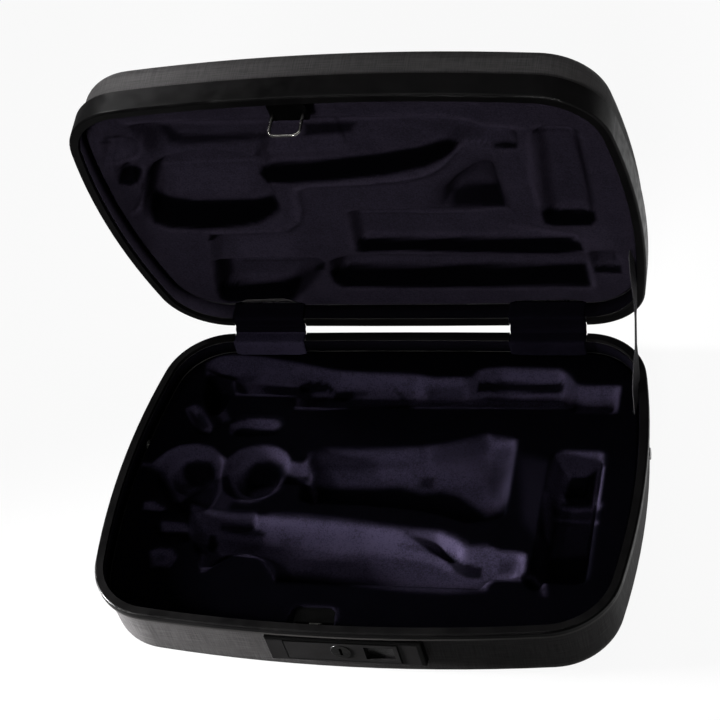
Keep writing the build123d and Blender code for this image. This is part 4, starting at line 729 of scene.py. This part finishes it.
LID_PAINTED_LIGHT_AREAS = [
    (0.45, 14.0, [(-160, 60), (-148, 80), (-138, 110), (-140, 150), (-165, 150)]),
    (0.9, 14.0, [(122, 62), (137, 62), (140, 90), (122, 84)]),
    (0.85, 12.0, [(-95, 62), (-58, 62), (-52, 86), (-92, 86)]),
    (0.85, 12.0, [(-112, 132), (-66, 130), (-62, 156), (-110, 156)]),
    (0.6, 4.0, [(-36, 53), (60, 52), (121, 52), (121, 61), (60, 62), (-20, 64)]),
    (0.6, 8.0, [(0, 22), (100, 20), (118, 26), (0, 27)]),
    (0.55, 4.0, [(125, 50), (141, 50), (140, 64), (125, 65)]),
    (0.42, 3.0, [(-124, 18), (-118, 20), (-110, 45), (-108, 60), (-101, 78), (-99, 88), (-105, 88), (-110, 75),
        (-113, 60), (-119, 40)]),
    (0.5, 8.0, [(-116, 36), (-100, 36), (-98, 56), (-108, 56)]),
    # rear left pocket
    (0.2, 6.0, [(-78, 10), (-60, 26), (-48, 42), (-42, 55), (-54, 48), (-68, 40)]),
    (0.0, 4.0, [(-124, 15), (-119, 11), (-78, 10), (-72, 17), (-66, 28), (-60, 41), (-72, 38), (-88, 35), (-116, 35),
        (-120, 28)]),
    (0.04, 3.0, [(-50, 47), (-43, 48), (-41, 56), (-47, 54)]),
    (0.05, 2.0, [(-110, 81), (-106, 82), (-101, 87), (-106, 89)]),
    # long rear pocket and bell row
    (0.0, 3.5, [(-41, 33), (-38, 28), (0, 26.5), (60, 26), (100, 27), (121, 26), (121.5, 52), (60, 51.5), (0, 52),
        (-28, 53), (-36, 50), (-41, 45)]),
    (0.0, 3.0, [(-19, 68), (-15, 66), (10, 67), (40, 65), (70, 63.5), (105, 62), (122, 64.5), (121, 74), (116, 79.5),
        (60, 80), (0, 81), (-12, 82), (-16, 76)]),
    # flare
    (0.4, 12.0, [(40, 112), (83, 112), (83, 160), (72, 154), (58, 140), (44, 130)]),
    (0.05, 9.0, [(52, 111), (84, 111), (84, 134), (66, 134), (54, 128)]),
    (0.03, 2.5, [(70, 112), (83, 112), (83, 133), (72, 132)]),
    # left round pocket and the upper joint
    (0.0, 4.5, [(-139, 101), (-130, 95), (-110, 93), (-85, 95), (-72, 98), (-62, 105), (-55, 112), (-52.5, 118),
        (-54, 127), (-66, 124), (-85, 124), (-104, 124), (-118, 128), (-127, 136), (-131, 130), (-137, 115)]),
    (0.02, 2.5, [(-147, 142), (-140, 139), (-133, 144), (-126, 155), (-132, 160), (-139, 157), (-144, 149)]),
    (0.0, 4.0, [(-54, 139), (-40, 137.5), (-10, 139.5), (20, 143), (45, 150), (58, 158), (68, 166), (69, 172),
        (64, 175.5), (58, 174), (45, 169), (20, 164), (0, 161.5), (-20, 159), (-45, 158), (-52, 155), (-56, 148)]),
    (0.5, 8.0, [(66, 176), (82, 172), (84, 184), (70, 191), (52, 190)]),
    # front strip
    (0.5, 8.0, [(-116, 172), (-108, 172), (-102, 196), (-118, 196)]),
    (0.12, 5.0, [(-101, 181), (-95, 178), (-60, 179), (-40, 181.5), (-40, 186), (-90, 187), (-96, 196), (-102, 196)]),
    (0.12, 5.0, [(-18, 182), (10, 184), (14, 192.5), (-16, 193)]),
    (0.5, 4.0, [(-92, 188), (-38, 187), (-38, 194), (-94, 195)]),
    (0.03, 3.0, [(87, 165.5), (100, 164.5), (101, 170), (88, 171)]),
    # mouthpiece and the small pocket beside it
    (0.6, 6.0, [(112, 108), (132, 108), (132, 178), (116, 178)]),
    (0.0, 3.0, [(103, 93), (108, 90), (130, 90), (134, 95), (134, 104), (128, 106), (115, 107), (108, 109),
        (103, 104)]),
    (1.0, 3.5, [(101, 110), (105, 110), (109, 140), (112, 160), (113, 178), (108, 178), (104, 160), (101, 135)]),
    (0.03, 2.0, [(124, 41.5), (141, 40), (142, 49), (126, 49)]),
]
LID_PAINTED_LIGHT_LINES = [
    (0.35, 1.0, [(-94, 58.7), (-55, 58.6)]),
    (0.95, 0.9, [(-105, 88.6), (-60, 89)]),
    (0.4, 1.6, [(-53, 90.5), (-47, 96), (-43, 103), (-40, 110), (-38, 122), (-37, 130)]),
    (0.92, 2.2, [(-46, 101), (-43, 112), (-42, 126), (-38, 132)]),
    (1.0, 1.4, [(-40, 131.5), (-30, 134), (0, 135.6), (20, 137.4), (40, 141.6), (52, 149), (62, 159.5), (69, 169.5)]),
    (0.3, 0.9, [(12, 135.6), (24, 136.4), (39, 139.4), (51, 146), (58, 153), (65, 161.5)]),
    (1.0, 1.2, [(71, 171), (77, 172.5), (83, 171.5)]),
    (0.9, 2.6, [(-19, 71), (-16, 90), (-12, 106)]),
    (0.95, 1.1, [(-12, 108.5), (20, 108), (40, 106.3), (60, 106.6), (83, 109)]),
    (0.45, 0.9, [(-8, 106.8), (20, 106.3), (34, 104.8), (56, 104.8)]),
    (0.95, 2.8, [(84, 91), (92, 88), (100, 86), (118, 81.5), (123, 76)]),
    (0.9, 1.5, [(122.5, 28), (123, 60)]),
    (0.9, 1.5, [(-150, 110), (-143, 116), (-138, 125), (-129, 143), (-125, 158)]),
    (0.3, 1.0, [(-150, 113.5), (-144, 118), (-140, 124), (-131, 142)]),
    (0.95, 1.1, [(-120, 160), (-90, 161), (-55, 161.5)]),
    (0.9, 1.4, [(-147, 161), (-135, 163.5), (-124, 168), (-120, 175), (-115, 188)]),
    (0.45, 1.2, [(-141, 163.5), (-134, 166), (-126, 170), (-122, 176)]),
    (0.9, 1.1, [(-145, 183), (-128, 185), (-121, 188.5)]),
    (0.2, 1.2, [(-143, 181.8), (-137, 181.8)]),
    (1.0, 1.5, [(-120, 197.5), (-100, 199), (-80, 197.5), (-60, 196), (0, 195.6), (50, 195.8), (66, 194.5), (78, 191),
        (86, 185), (98, 183), (106, 181.5)]),
    (0.45, 1.6, [(134.5, 112), (134.5, 150), (132.5, 174)]),
    (0.35, 1.8, [(113, 180), (122, 181), (131, 179.5)]),
    (0.95, 1.5, [(113, 182.5), (122, 183), (132, 181.5), (137, 172)]),
]


def grid_of(inset):
    edge = outline_points(inset)
    xs = np.arange(math.floor(edge[:, 0].min()), math.ceil(edge[:, 0].max()) + STEP, STEP)
    ys = np.arange(math.floor(edge[:, 1].min()), math.ceil(edge[:, 1].max()) + STEP, STEP)
    x, y = np.meshgrid(xs, ys)
    return edge, x, y


def bed_depth(beds, x, y):
    """Depth of all the beds together on the grid."""
    depth = np.zeros(x.shape)
    for points, deep, wall, corner, section in beds:
        inside = blurred(inside_distance(plan(points), x, y), corner)
        depth = np.maximum(depth, deep * section(inside / wall))
    return depth


def eye_point(lid):
    """The camera's place in the frame in which the lining is drawn."""
    x, y, z = CAMERA_PLACE
    if lid:
        dy, dz = y - HINGE_Y, z - HINGE_Z
        c, s = math.cos(LID_OPEN), math.sin(LID_OPEN)
        y, z = HINGE_Y + dy * c - dz * s, HINGE_Z + dy * s + dz * c
    return x, y, z


def seen_on_plane(x, y, depth, plane_z, lid):
    """Where a point at some depth below the plane of the plush is seen on that plane."""
    eye_x, eye_y, eye_z = eye_point(lid)
    share = depth / (abs(eye_z - plane_z) + depth)
    return x + (eye_x - x) * share, y + (eye_y - y) * share


def painted_light_map(start, areas, lines, x, y):
    """Painted light and shade: a start value, then each area and each line laid over it."""
    painted_light = np.full(x.shape, float(start))
    for value, soft, points in areas:
        inside = inside_distance(plan(points), x, y)
        painted_light += (value - painted_light) * smooth_step(inside / soft + 0.5)
    for value, width, points in lines:
        far = line_distance(plan(points), x, y)
        painted_light += (value - painted_light) * LINE_SHARE * np.exp(-((far / width) ** 2))
    return painted_light


def hinge_slots(x, y, depth):
    """Room behind the hinge flaps for the leaves."""
    low, high = box_mm("hinge_right_base_leaf")
    half, centre = (high.x - low.x) / 2 + SLOT_SIDE_ROOM, (high.x + low.x) / 2
    near = (np.abs(np.abs(x) - centre) < half) & (y > HALF_DEPTH - SLOT_FROM_REAR)
    return np.where(near, np.maximum(depth, SLOT_DEPTH), depth)


def facing_front(height):
    """How far each point faces the front, from -1 to 1."""
    slope_y, slope_x = np.gradient(height, STEP)
    return slope_y / np.sqrt(1 + slope_x ** 2 + slope_y ** 2)


SKIRT = [(0.0, 9.0), (2.6, 2.6), (5.4, 0.0)]      # each ring's step inward and its height over the back
EDGE_ROLL = 2.2             # radius of the plush's shoulder along the wall
BACK_GAP = 0.1


def lining(name, node, body, height, painted_light_and_tone, edge, x, y, back_z, up, material):
    """A closed plush body: its upper face from the grid, then a skirt and a flat back."""
    inside = inside_distance(edge, x, y)
    rows, columns = x.shape
    keep = inside > 0
    cell = keep[:-1, :-1] | keep[1:, :-1] | keep[:-1, 1:] | keep[1:, 1:]
    px, py = x.copy(), y.copy()
    used = np.zeros(x.shape, bool)
    for dr in (0, 1):
        for dc in (0, 1):
            used[dr:rows - 1 + dr, dc:columns - 1 + dc] |= cell
    a = edge
    d = np.roll(edge, -1, axis=0) - a
    for r, c in zip(*np.nonzero(used & ~keep)):
        # the nearest point of the edge takes the place of a grid point outside it
        t = np.clip(((x[r, c] - a[:, 0]) * d[:, 0] + (y[r, c] - a[:, 1]) * d[:, 1]) / (d ** 2).sum(1), 0, 1)
        q = a + t[:, None] * d
        k = np.argmin(np.hypot(q[:, 0] - x[r, c], q[:, 1] - y[r, c]))
        px[r, c], py[r, c] = q[k]
    index = np.full(x.shape, -1)
    index[used] = np.arange(used.sum())
    points = np.column_stack([px[used], py[used], height[used]])
    r, c = np.nonzero(cell)
    corners = [index[r, c], index[r, c + 1], index[r + 1, c + 1], index[r + 1, c]]
    faces = np.stack(corners if up > 0 else corners[::-1], 1)
    mesh = bpy.data.meshes.new(name)
    mesh.from_pydata(points.tolist(), [], faces.tolist())
    shape = bmesh.new()
    shape.from_mesh(mesh)
    ring = [e for e in shape.edges if e.is_boundary]
    for pull, over_back in SKIRT:
        grown = bmesh.ops.extrude_edge_only(shape, edges=ring)["geom"]
        ring = [g for g in grown if isinstance(g, bmesh.types.BMEdge) and g.is_boundary]
        for v in [g for g in grown if isinstance(g, bmesh.types.BMVert)]:
            share = pull / math.hypot(v.co.x, v.co.y)
            v.co = (v.co.x * (1 - share), v.co.y * (1 - share), back_z + up * over_back)
    bmesh.ops.contextual_create(shape, geom=ring)
    bmesh.ops.recalc_face_normals(shape, faces=shape.faces)
    shape.to_mesh(mesh)
    shape.free()
    co = np.zeros(len(mesh.vertices) * 3)
    mesh.vertices.foreach_get("co", co)
    co = co.reshape(-1, 3)
    if body == "lid":
        co = opened(co)
    mesh.vertices.foreach_set("co", (co * MM).ravel())
    # painted light and shade on the upper face; the skirt and back stay dark
    values = np.zeros(len(co), np.float32)
    values[:used.sum()] = np.clip(painted_light_and_tone[used], 0, 1)
    set_painted_light_and_tone(mesh, values)
    mesh.materials.append(material)
    mesh.shade_smooth()
    mesh.update()
    piece = bpy.data.objects.new(name, mesh)
    bpy.context.scene.collection.objects.link(piece)
    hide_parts(node)
    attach(piece, body)


def edge_roll(inside, radius):
    """How far the plush sinks beside its edge, as a round shoulder."""
    t = np.clip(1 - np.maximum(inside, 0) / radius, 0, 1)
    return radius * (1 - np.sqrt(1 - t ** 2))


def lumps(x, y, seed, size, height):
    """Soft unevenness of the plush, from a few crossed waves."""
    random = np.random.default_rng(seed)
    total = np.zeros(x.shape)
    waves = 14
    for _ in range(waves):
        angle, phase = random.uniform(0, 2 * math.pi, 2)
        length = size * random.uniform(0.7, 1.8)
        total += np.sin((x * math.cos(angle) + y * math.sin(angle)) * 2 * math.pi / length + phase)
    return height * total / waves


def make_base_lining():
    edge, x, y = grid_of(LINING_INSET)
    depth = bed_depth(BASE_BEDS, x, y)
    for centre_x, forward, mouth in WELLS:
        inside = mouth - np.hypot(x - centre_x, y - HALF_DEPTH + forward)
        bowl = WELL_MOUTH_DEPTH * round_step(inside / (mouth - WELL_RADIUS + 4))
        hole = WELL_DEPTH * smooth_step((inside - (mouth - WELL_RADIUS)) / WELL_WALL)
        depth = np.maximum(depth, np.maximum(bowl, hole))
    notch_step = smooth_step(blurred(inside_distance(plan(NOTCH), x, y), 2.5) / 2.0)
    depth = blurred(hinge_slots(x, y, depth), BASE_SOFTNESS)
    depth = np.maximum(depth, NOTCH_DEPTH * notch_step)
    roll = edge_roll(inside_distance(edge, x, y), EDGE_ROLL)
    height = BASE_PLUSH_Z - depth - roll + lumps(x, y, 3, 26.0, 0.35)
    drop = BASE_PLUSH_Z - height
    seen = seen_on_plane(x, y, drop, BASE_PLUSH_Z, False)
    painted_light = painted_light_map(BASE_PAINTED_LIGHT, BASE_PAINTED_LIGHT_AREAS, BASE_PAINTED_LIGHT_LINES, *seen)
    front = facing_front(height)
    # painted light and shade: the painted map, lighter where the plush faces the front, with a little light on
    # front-facing slopes of its dark parts
    painted_light_and_tone = painted_light * (0.82 + 0.3 * front) + 0.012 + 0.05 * front * (painted_light < 0.05)
    lining("base_lining_plush", "base_lining", "base", height, painted_light_and_tone, edge, x, y, BASE_FLOOR_Z + BACK_GAP, 1,
           BASE_PLUSH)


def make_lid_lining():
    edge, x, y = grid_of(LINING_INSET)
    depth = blurred(hinge_slots(x, y, bed_depth(LID_BEDS, x, y)), LID_SOFTNESS)
    left, right = BLOCK_LOW.x - CATCH_ROOM, BLOCK_HIGH.x + CATCH_ROOM
    catch = plan([(left, 210), (right, 210), (right, 232), (left, 232)])
    depth = np.maximum(depth, CATCH_HOLLOW * smooth_step(inside_distance(catch, x, y) / 1.2 + 0.6))
    for points in LID_RIDGES:
        near = line_distance(plan(points), x, y)
        depth -= RIDGE_HEIGHT * np.exp(-0.5 * (near / RIDGE_WIDTH) ** 2)
    depth = np.minimum(depth, LID_DEEPEST)
    # creases beside the beds at the left front
    beside = smooth_step((-118 - x) / 14) * smooth_step((x + 153) / 6)
    folds = np.sin(x * 0.9 + 1.9 * np.sin(y * 0.11) + y * 0.25) * beside
    depth += 0.45 * folds * smooth_step((-y + 30) / 30)
    roll = edge_roll(inside_distance(edge, x, y), EDGE_ROLL)
    height = LID_PLUSH_Z + depth + roll + lumps(x, y, 8, 32.0, 0.45)
    drop = height - LID_PLUSH_Z
    painted_light = painted_light_map(LID_PAINTED_LIGHT, LID_PAINTED_LIGHT_AREAS, LID_PAINTED_LIGHT_LINES, *seen_on_plane(x, y, drop, LID_PLUSH_Z, True))
    # painted light and shade: the painted map, a little lighter where the plush faces the front
    painted_light_and_tone = painted_light * (1 + 0.12 * facing_front(height)) + 0.012
    lining("lid_lining_plush", "lid_lining", "lid", height, painted_light_and_tone, edge, x, y, LID_CEILING_Z - BACK_GAP, -1,
           LID_PLUSH)


make_base_lining()
make_lid_lining()


# ---- Plush on the inside of the walls --------------------------------------------------
def wall_liner(name, body, z0, z1, material, gap=None):
    """A thin plush band against the inside of the wall, between the bed and the rim."""
    outer, inner = outline_points(WALL_INSET + 0.05), outline_points(LINING_INSET - 0.12)
    count = len(outer)
    order = list(range(count))
    if gap:
        order = [k for k in order if not (outer[k][1] < 0 and gap[0] < outer[k][0] < gap[1])]
        start = next(i for i in range(len(order)) if order[i] - order[i - 1] not in (1, 1 - count))
        order = order[start:] + order[:start]
    points = []
    for k in order:
        mid = (outer[k] + inner[k]) / 2
        points += [(*outer[k], z0), (*outer[k], z1), (*mid, z1 + 0.18), (*inner[k], z1), (*inner[k], z0)]
    if body == "lid":
        points = opened(points)
    piece = add_mesh(name, points, swept_faces(len(order), 5, gap is None), material)
    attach(piece, body)


BELOW_RIM, BEHIND_BED = 2.8, 0.6
wall_liner("base_wall_plush", "base", BASE_PLUSH_Z - BEHIND_BED, RIM_Z - BELOW_RIM, WALL_PLUSH)
wall_liner("lid_wall_plush", "lid", LID_RIM_Z + BELOW_RIM, LID_PLUSH_Z + BEHIND_BED, LID_WALL_PLUSH,
           (BLOCK_LOW.x - 1.0, BLOCK_HIGH.x + 1.0))


# ---- Flaps over the hinges ----------------------------------------------------------------
FLAP_HALF = 0.35            # half the thickness
FLAP_TURN = 2.45            # radius of the flap's path round the hinge
FLAP_COLUMNS = 40
FLAP_LIT_ELSEWHERE = 0.05   # painted light away from the base


def rounded_path(points, times=3):
    """Corner cutting, which keeps the two end points."""
    points = [np.array(p, float) for p in points]
    for _ in range(times):
        cut = [points[0]]
        for a, b in zip(points[:-1], points[1:]):
            cut += [a * 0.75 + b * 0.25, a * 0.25 + b * 0.75]
        cut.append(points[-1])
        points = cut
    return np.array(points)


def even_path(path, step):
    """The path at even steps, and its length."""
    length = np.concatenate([[0], np.cumsum(np.linalg.norm(np.diff(path, axis=0), axis=1))])
    at = np.linspace(0, length[-1], int(length[-1] / step) + 1)
    return np.column_stack([np.interp(at, length, path[:, k]) for k in range(path.shape[1])]), length[-1]


def make_flap(side_name, seed, lit):
    """A plush flap over one hinge, from inside the base to inside the lid."""
    node = f"hinge_cover_{side_name}"
    low, high = box_mm(node)
    front_y = low.y + 0.4
    over_z = RIM_Z - 0.75
    hinge = np.array([HINGE_Y, HINGE_Z])
    base_half = [(front_y, BASE_PLUSH_Z - 1.5), (front_y, over_z - 0.9), (front_y + 1.4, over_z),
                 (HINGE_Y - 3.0, over_z + 0.05)]
    turn = [hinge + FLAP_TURN * np.array([math.cos(a), math.sin(a)]) for a in np.radians([195, 160, 125, 95])]
    lid_half = [(y, 2 * HINGE_Z - z) for y, z in reversed(base_half)]
    lid_open = opened([(0, y, z) for y, z in lid_half])[:, 1:]
    corners = base_half + [tuple(p) for p in turn] + [tuple(p) for p in lid_open]
    path, length = even_path(rounded_path(corners, 2), 0.8)
    count = FLAP_COLUMNS
    random = np.random.default_rng(seed)
    waves = [(random.uniform(0.1, 0.3), random.uniform(0, 6.28)) for _ in range(3)]
    points, faces = [], []
    across = np.linspace(low.x, high.x, count)
    tangent = np.gradient(path, axis=0)
    normal = unit(np.column_stack([-tangent[:, 1], tangent[:, 0]]))
    for face in (1, -1):
        for i, (py, pz) in enumerate(path):
            for x in across:
                sway = 0.10 * sum(math.sin(x * k + p + i * 0.15) for k, p in waves)
                edge = min(1.0, min(x - low.x, high.x - x) / 1.2 + 0.35)
                half = FLAP_HALF * edge * (1 if 0 < i < len(path) - 1 else 0.5)
                off = face * half + sway * 0.5
                points.append((x, py + normal[i, 0] * off, pz + normal[i, 1] * off))
    rows = len(path)

    def at(face, i, k):
        return face * rows * count + i * count + k

    for i in range(rows - 1):
        for k in range(count - 1):
            faces.append((at(0, i, k), at(0, i, k + 1), at(0, i + 1, k + 1), at(0, i + 1, k)))
            faces.append((at(1, i, k), at(1, i + 1, k), at(1, i + 1, k + 1), at(1, i, k + 1)))
        faces.append((at(0, i, 0), at(0, i + 1, 0), at(1, i + 1, 0), at(1, i, 0)))
        faces.append((at(0, i, count - 1), at(1, i, count - 1), at(1, i + 1, count - 1), at(0, i + 1, count - 1)))
    for k in range(count - 1):
        faces.append((at(0, 0, k), at(1, 0, k), at(1, 0, k + 1), at(0, 0, k + 1)))
        faces.append((at(0, rows - 1, k), at(0, rows - 1, k + 1), at(1, rows - 1, k + 1), at(1, rows - 1, k)))
    piece = add_mesh(f"hinge_flap_{side_name}", points, faces, BASE_PLUSH)
    shape = bmesh.new()
    shape.from_mesh(piece.data)
    bmesh.ops.recalc_face_normals(shape, faces=shape.faces)
    shape.to_mesh(piece.data)
    shape.free()
    # painted light: the part over the base gets the given light, the rest stays dark, lighter where the cloth faces
    # the front or back
    over_base = (path[:, 0] < HINGE_Y - 2.0) & (path[:, 1] < RIM_Z)
    painted_light_and_tone = 0.03 + np.where(over_base, lit, FLAP_LIT_ELSEWHERE) * (0.6 + 0.4 * normal[:, 0] ** 2)
    set_painted_light_and_tone(piece.data, np.tile(np.repeat(painted_light_and_tone, count), 2).astype(np.float32))
    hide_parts(node)
    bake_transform(piece)


# the left flap is painted lit and the right one dark
make_flap("left", 6, 0.95)
make_flap("right", 5, 0.12)


# ---- Ribbon that stops the lid ----------------------------------------------------------
RIBBON_WIDTH = 10.0
RIBBON_HALF = 0.35          # half the thickness
RIBBON_TUCK = 5.0           # of each end into the plush
RIBBON_STEP = 1.0
# share of the length, and turn about it in degrees
RIBBON_TWIST = [(0.0, 2.0), (0.07, 8.0), (0.16, 17.0), (0.25, 14.0), (0.34, 5.0), (0.42, -4.0), (0.6, -5.0),
                (0.68, 0.0), (0.8, 8.0), (1.0, 9.0)]


def make_ribbon():
    """The woven ribbon, as a thin band that twists a little on its way from the base to the lid."""
    node = "lid_stay_ribbon"
    low, high = box_mm(node)
    x = (low.x + high.x) / 2
    start = np.array([x + 0.6, low.y - 2.7, low.z + 1.6])
    end = np.array([x + 0.8, high.y - 4.3, high.z - 2.6])
    corners = [start - (0, 2.5, RIBBON_TUCK), start + (0.2, 0.2, 0.6), start * 0.75 + end * 0.25 + (1.0, 0, 0),
               (start + end) / 2 + (1.4, 0, 0), start * 0.25 + end * 0.75 + (1.8, 0, 0), end - (0, 0.4, 0.3),
               end + (0, RIBBON_TUCK, -0.8)]
    path, length = even_path(rounded_path(corners, 3), RIBBON_STEP)
    share = np.linspace(0, 1, len(path))
    twist = np.radians(np.interp(share, *zip(*RIBBON_TWIST)))
    tangent = unit(np.gradient(path, axis=0))
    flat = unit(np.cross(tangent, (1, 0, 0)))
    sideways = np.cross(flat, tangent)
    wide = flat * np.cos(twist)[:, None] + sideways * np.sin(twist)[:, None]
    thick = np.cross(wide, tangent)
    section = [(-1, -0.6), (-0.9, -1), (0.9, -1), (1, -0.6), (1, 0.6), (0.9, 1), (-0.9, 1), (-1, 0.6)]
    points = []
    for p, w, t in zip(path, wide, thick):
        points += [p + w * a * RIBBON_WIDTH / 2 + t * b * RIBBON_HALF for a, b in section]
    faces = swept_faces(len(path), len(section), False)
    piece = add_mesh("lid_stay_ribbon_cloth", points, faces, RIBBON_CLOTH, smooth=False)
    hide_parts(node)
    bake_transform(piece)


make_ribbon()


# ---- Camera, floor, surroundings and lights ------------------------------------------------
FLOOR_HALF = 6000.0
FLOOR_DROP = 0.2


def make_camera():
    data = bpy.data.cameras.new("camera")
    data.lens, data.sensor_width = LENS_MM, SENSOR_MM
    data.clip_start, data.clip_end = 0.05, 20.0
    camera = bpy.data.objects.new("camera", data)
    rx, ry, rz = CAMERA_TILT
    turn = Matrix.Rotation(rz, 3, "Z") @ Matrix.Rotation(ry, 3, "Y") @ Matrix.Rotation(rx, 3, "X")
    right, down, forward = turn
    camera.matrix_world = Matrix.LocRotScale(
        Vector(CAMERA_PLACE) * MM, Matrix((right, -down, -forward)).transposed(), Vector((1, 1, 1)))
    bpy.context.scene.collection.objects.link(camera)
    bpy.context.scene.camera = camera


def make_floor():
    """White to the camera, dim to the object's own light, and brighter in reflections at the right."""
    paint = Paint("floor_white", (0.8, 0.8, 0.8), 0.9, specular=0.0)
    seen = paint.node("ShaderNodeLightPath").outputs["Is Camera Ray"]
    paint.colour(paint.mix(seen, (0.1, 0.1, 0.1), (0.8, 0.8, 0.8)))
    plain = paint.node("ShaderNodeEmission")
    plain.inputs["Color"].default_value = (1, 1, 1, 1)
    plain.inputs["Strength"].default_value = 1.0
    rightward = paint.span(paint.axes(paint.place)[0], 0.09, 0.18, 0.1, 0.85)
    paint.show_background(paint.background_share(0.93, rightward), paint.shader.outputs[0], plain.outputs[0],
                          "Material Output")
    corners = [(x * FLOOR_HALF, y * FLOOR_HALF, -FLOOR_DROP) for x, y in ((-1, -1), (1, -1), (1, 1), (-1, 1))]
    add_mesh("floor", corners, [(0, 1, 2, 3)], paint.material, smooth=False)


def make_world():
    world = bpy.data.worlds.new("studio")
    world.use_nodes = True
    nodes = Nodes(world.node_tree)
    shown = nodes.tree.nodes["Background"]
    ambient = nodes.node("ShaderNodeBackground")
    for shader, colour, strength in ((shown, (1, 1, 1, 1), 1.0), (ambient, (0.95, 0.97, 1.0, 1), 0.04)):
        shader.inputs["Color"].default_value = colour
        shader.inputs["Strength"].default_value = strength
    nodes.show_background(nodes.background_share(1.0, 0.10), ambient.outputs[0], shown.outputs[0], "World Output")
    bpy.context.scene.world = world


def make_lamp(name, place, target, size, power, spread=180.0):
    data = bpy.data.lights.new(name, "AREA")
    data.shape = "RECTANGLE"
    data.size, data.size_y = size
    data.energy = power
    data.spread = math.radians(spread)
    lamp = bpy.data.objects.new(name, data)
    lamp.location = place
    lamp.rotation_mode = "QUATERNION"
    lamp.rotation_quaternion = (Vector(target) - Vector(place)).to_track_quat("-Z", "Y")
    bpy.context.scene.collection.objects.link(lamp)


make_camera()
make_floor()
make_world()
make_lamp("key_front", (0.1, -1.15, 0.95), (0.0, 0.1, 0.175), (0.6, 0.12), 0.5, 19.0)
make_lamp("edge_left", (-0.85, -0.19, 0.16), (-0.13, -0.115, 0.025), (0.12, 0.2), 2.2, 26.0)
make_lamp("upper_left", (-0.6, 0.25, 0.85), (-0.13, 0.17, 0.24), (0.1, 0.1), 0.3, 20.0)
make_lamp("top", (0.0, 0.08, 1.5), (0.0, 0.08, 0.0), (1.4, 0.36), 5.0)

bpy.context.scene.view_settings.view_transform = "Standard"
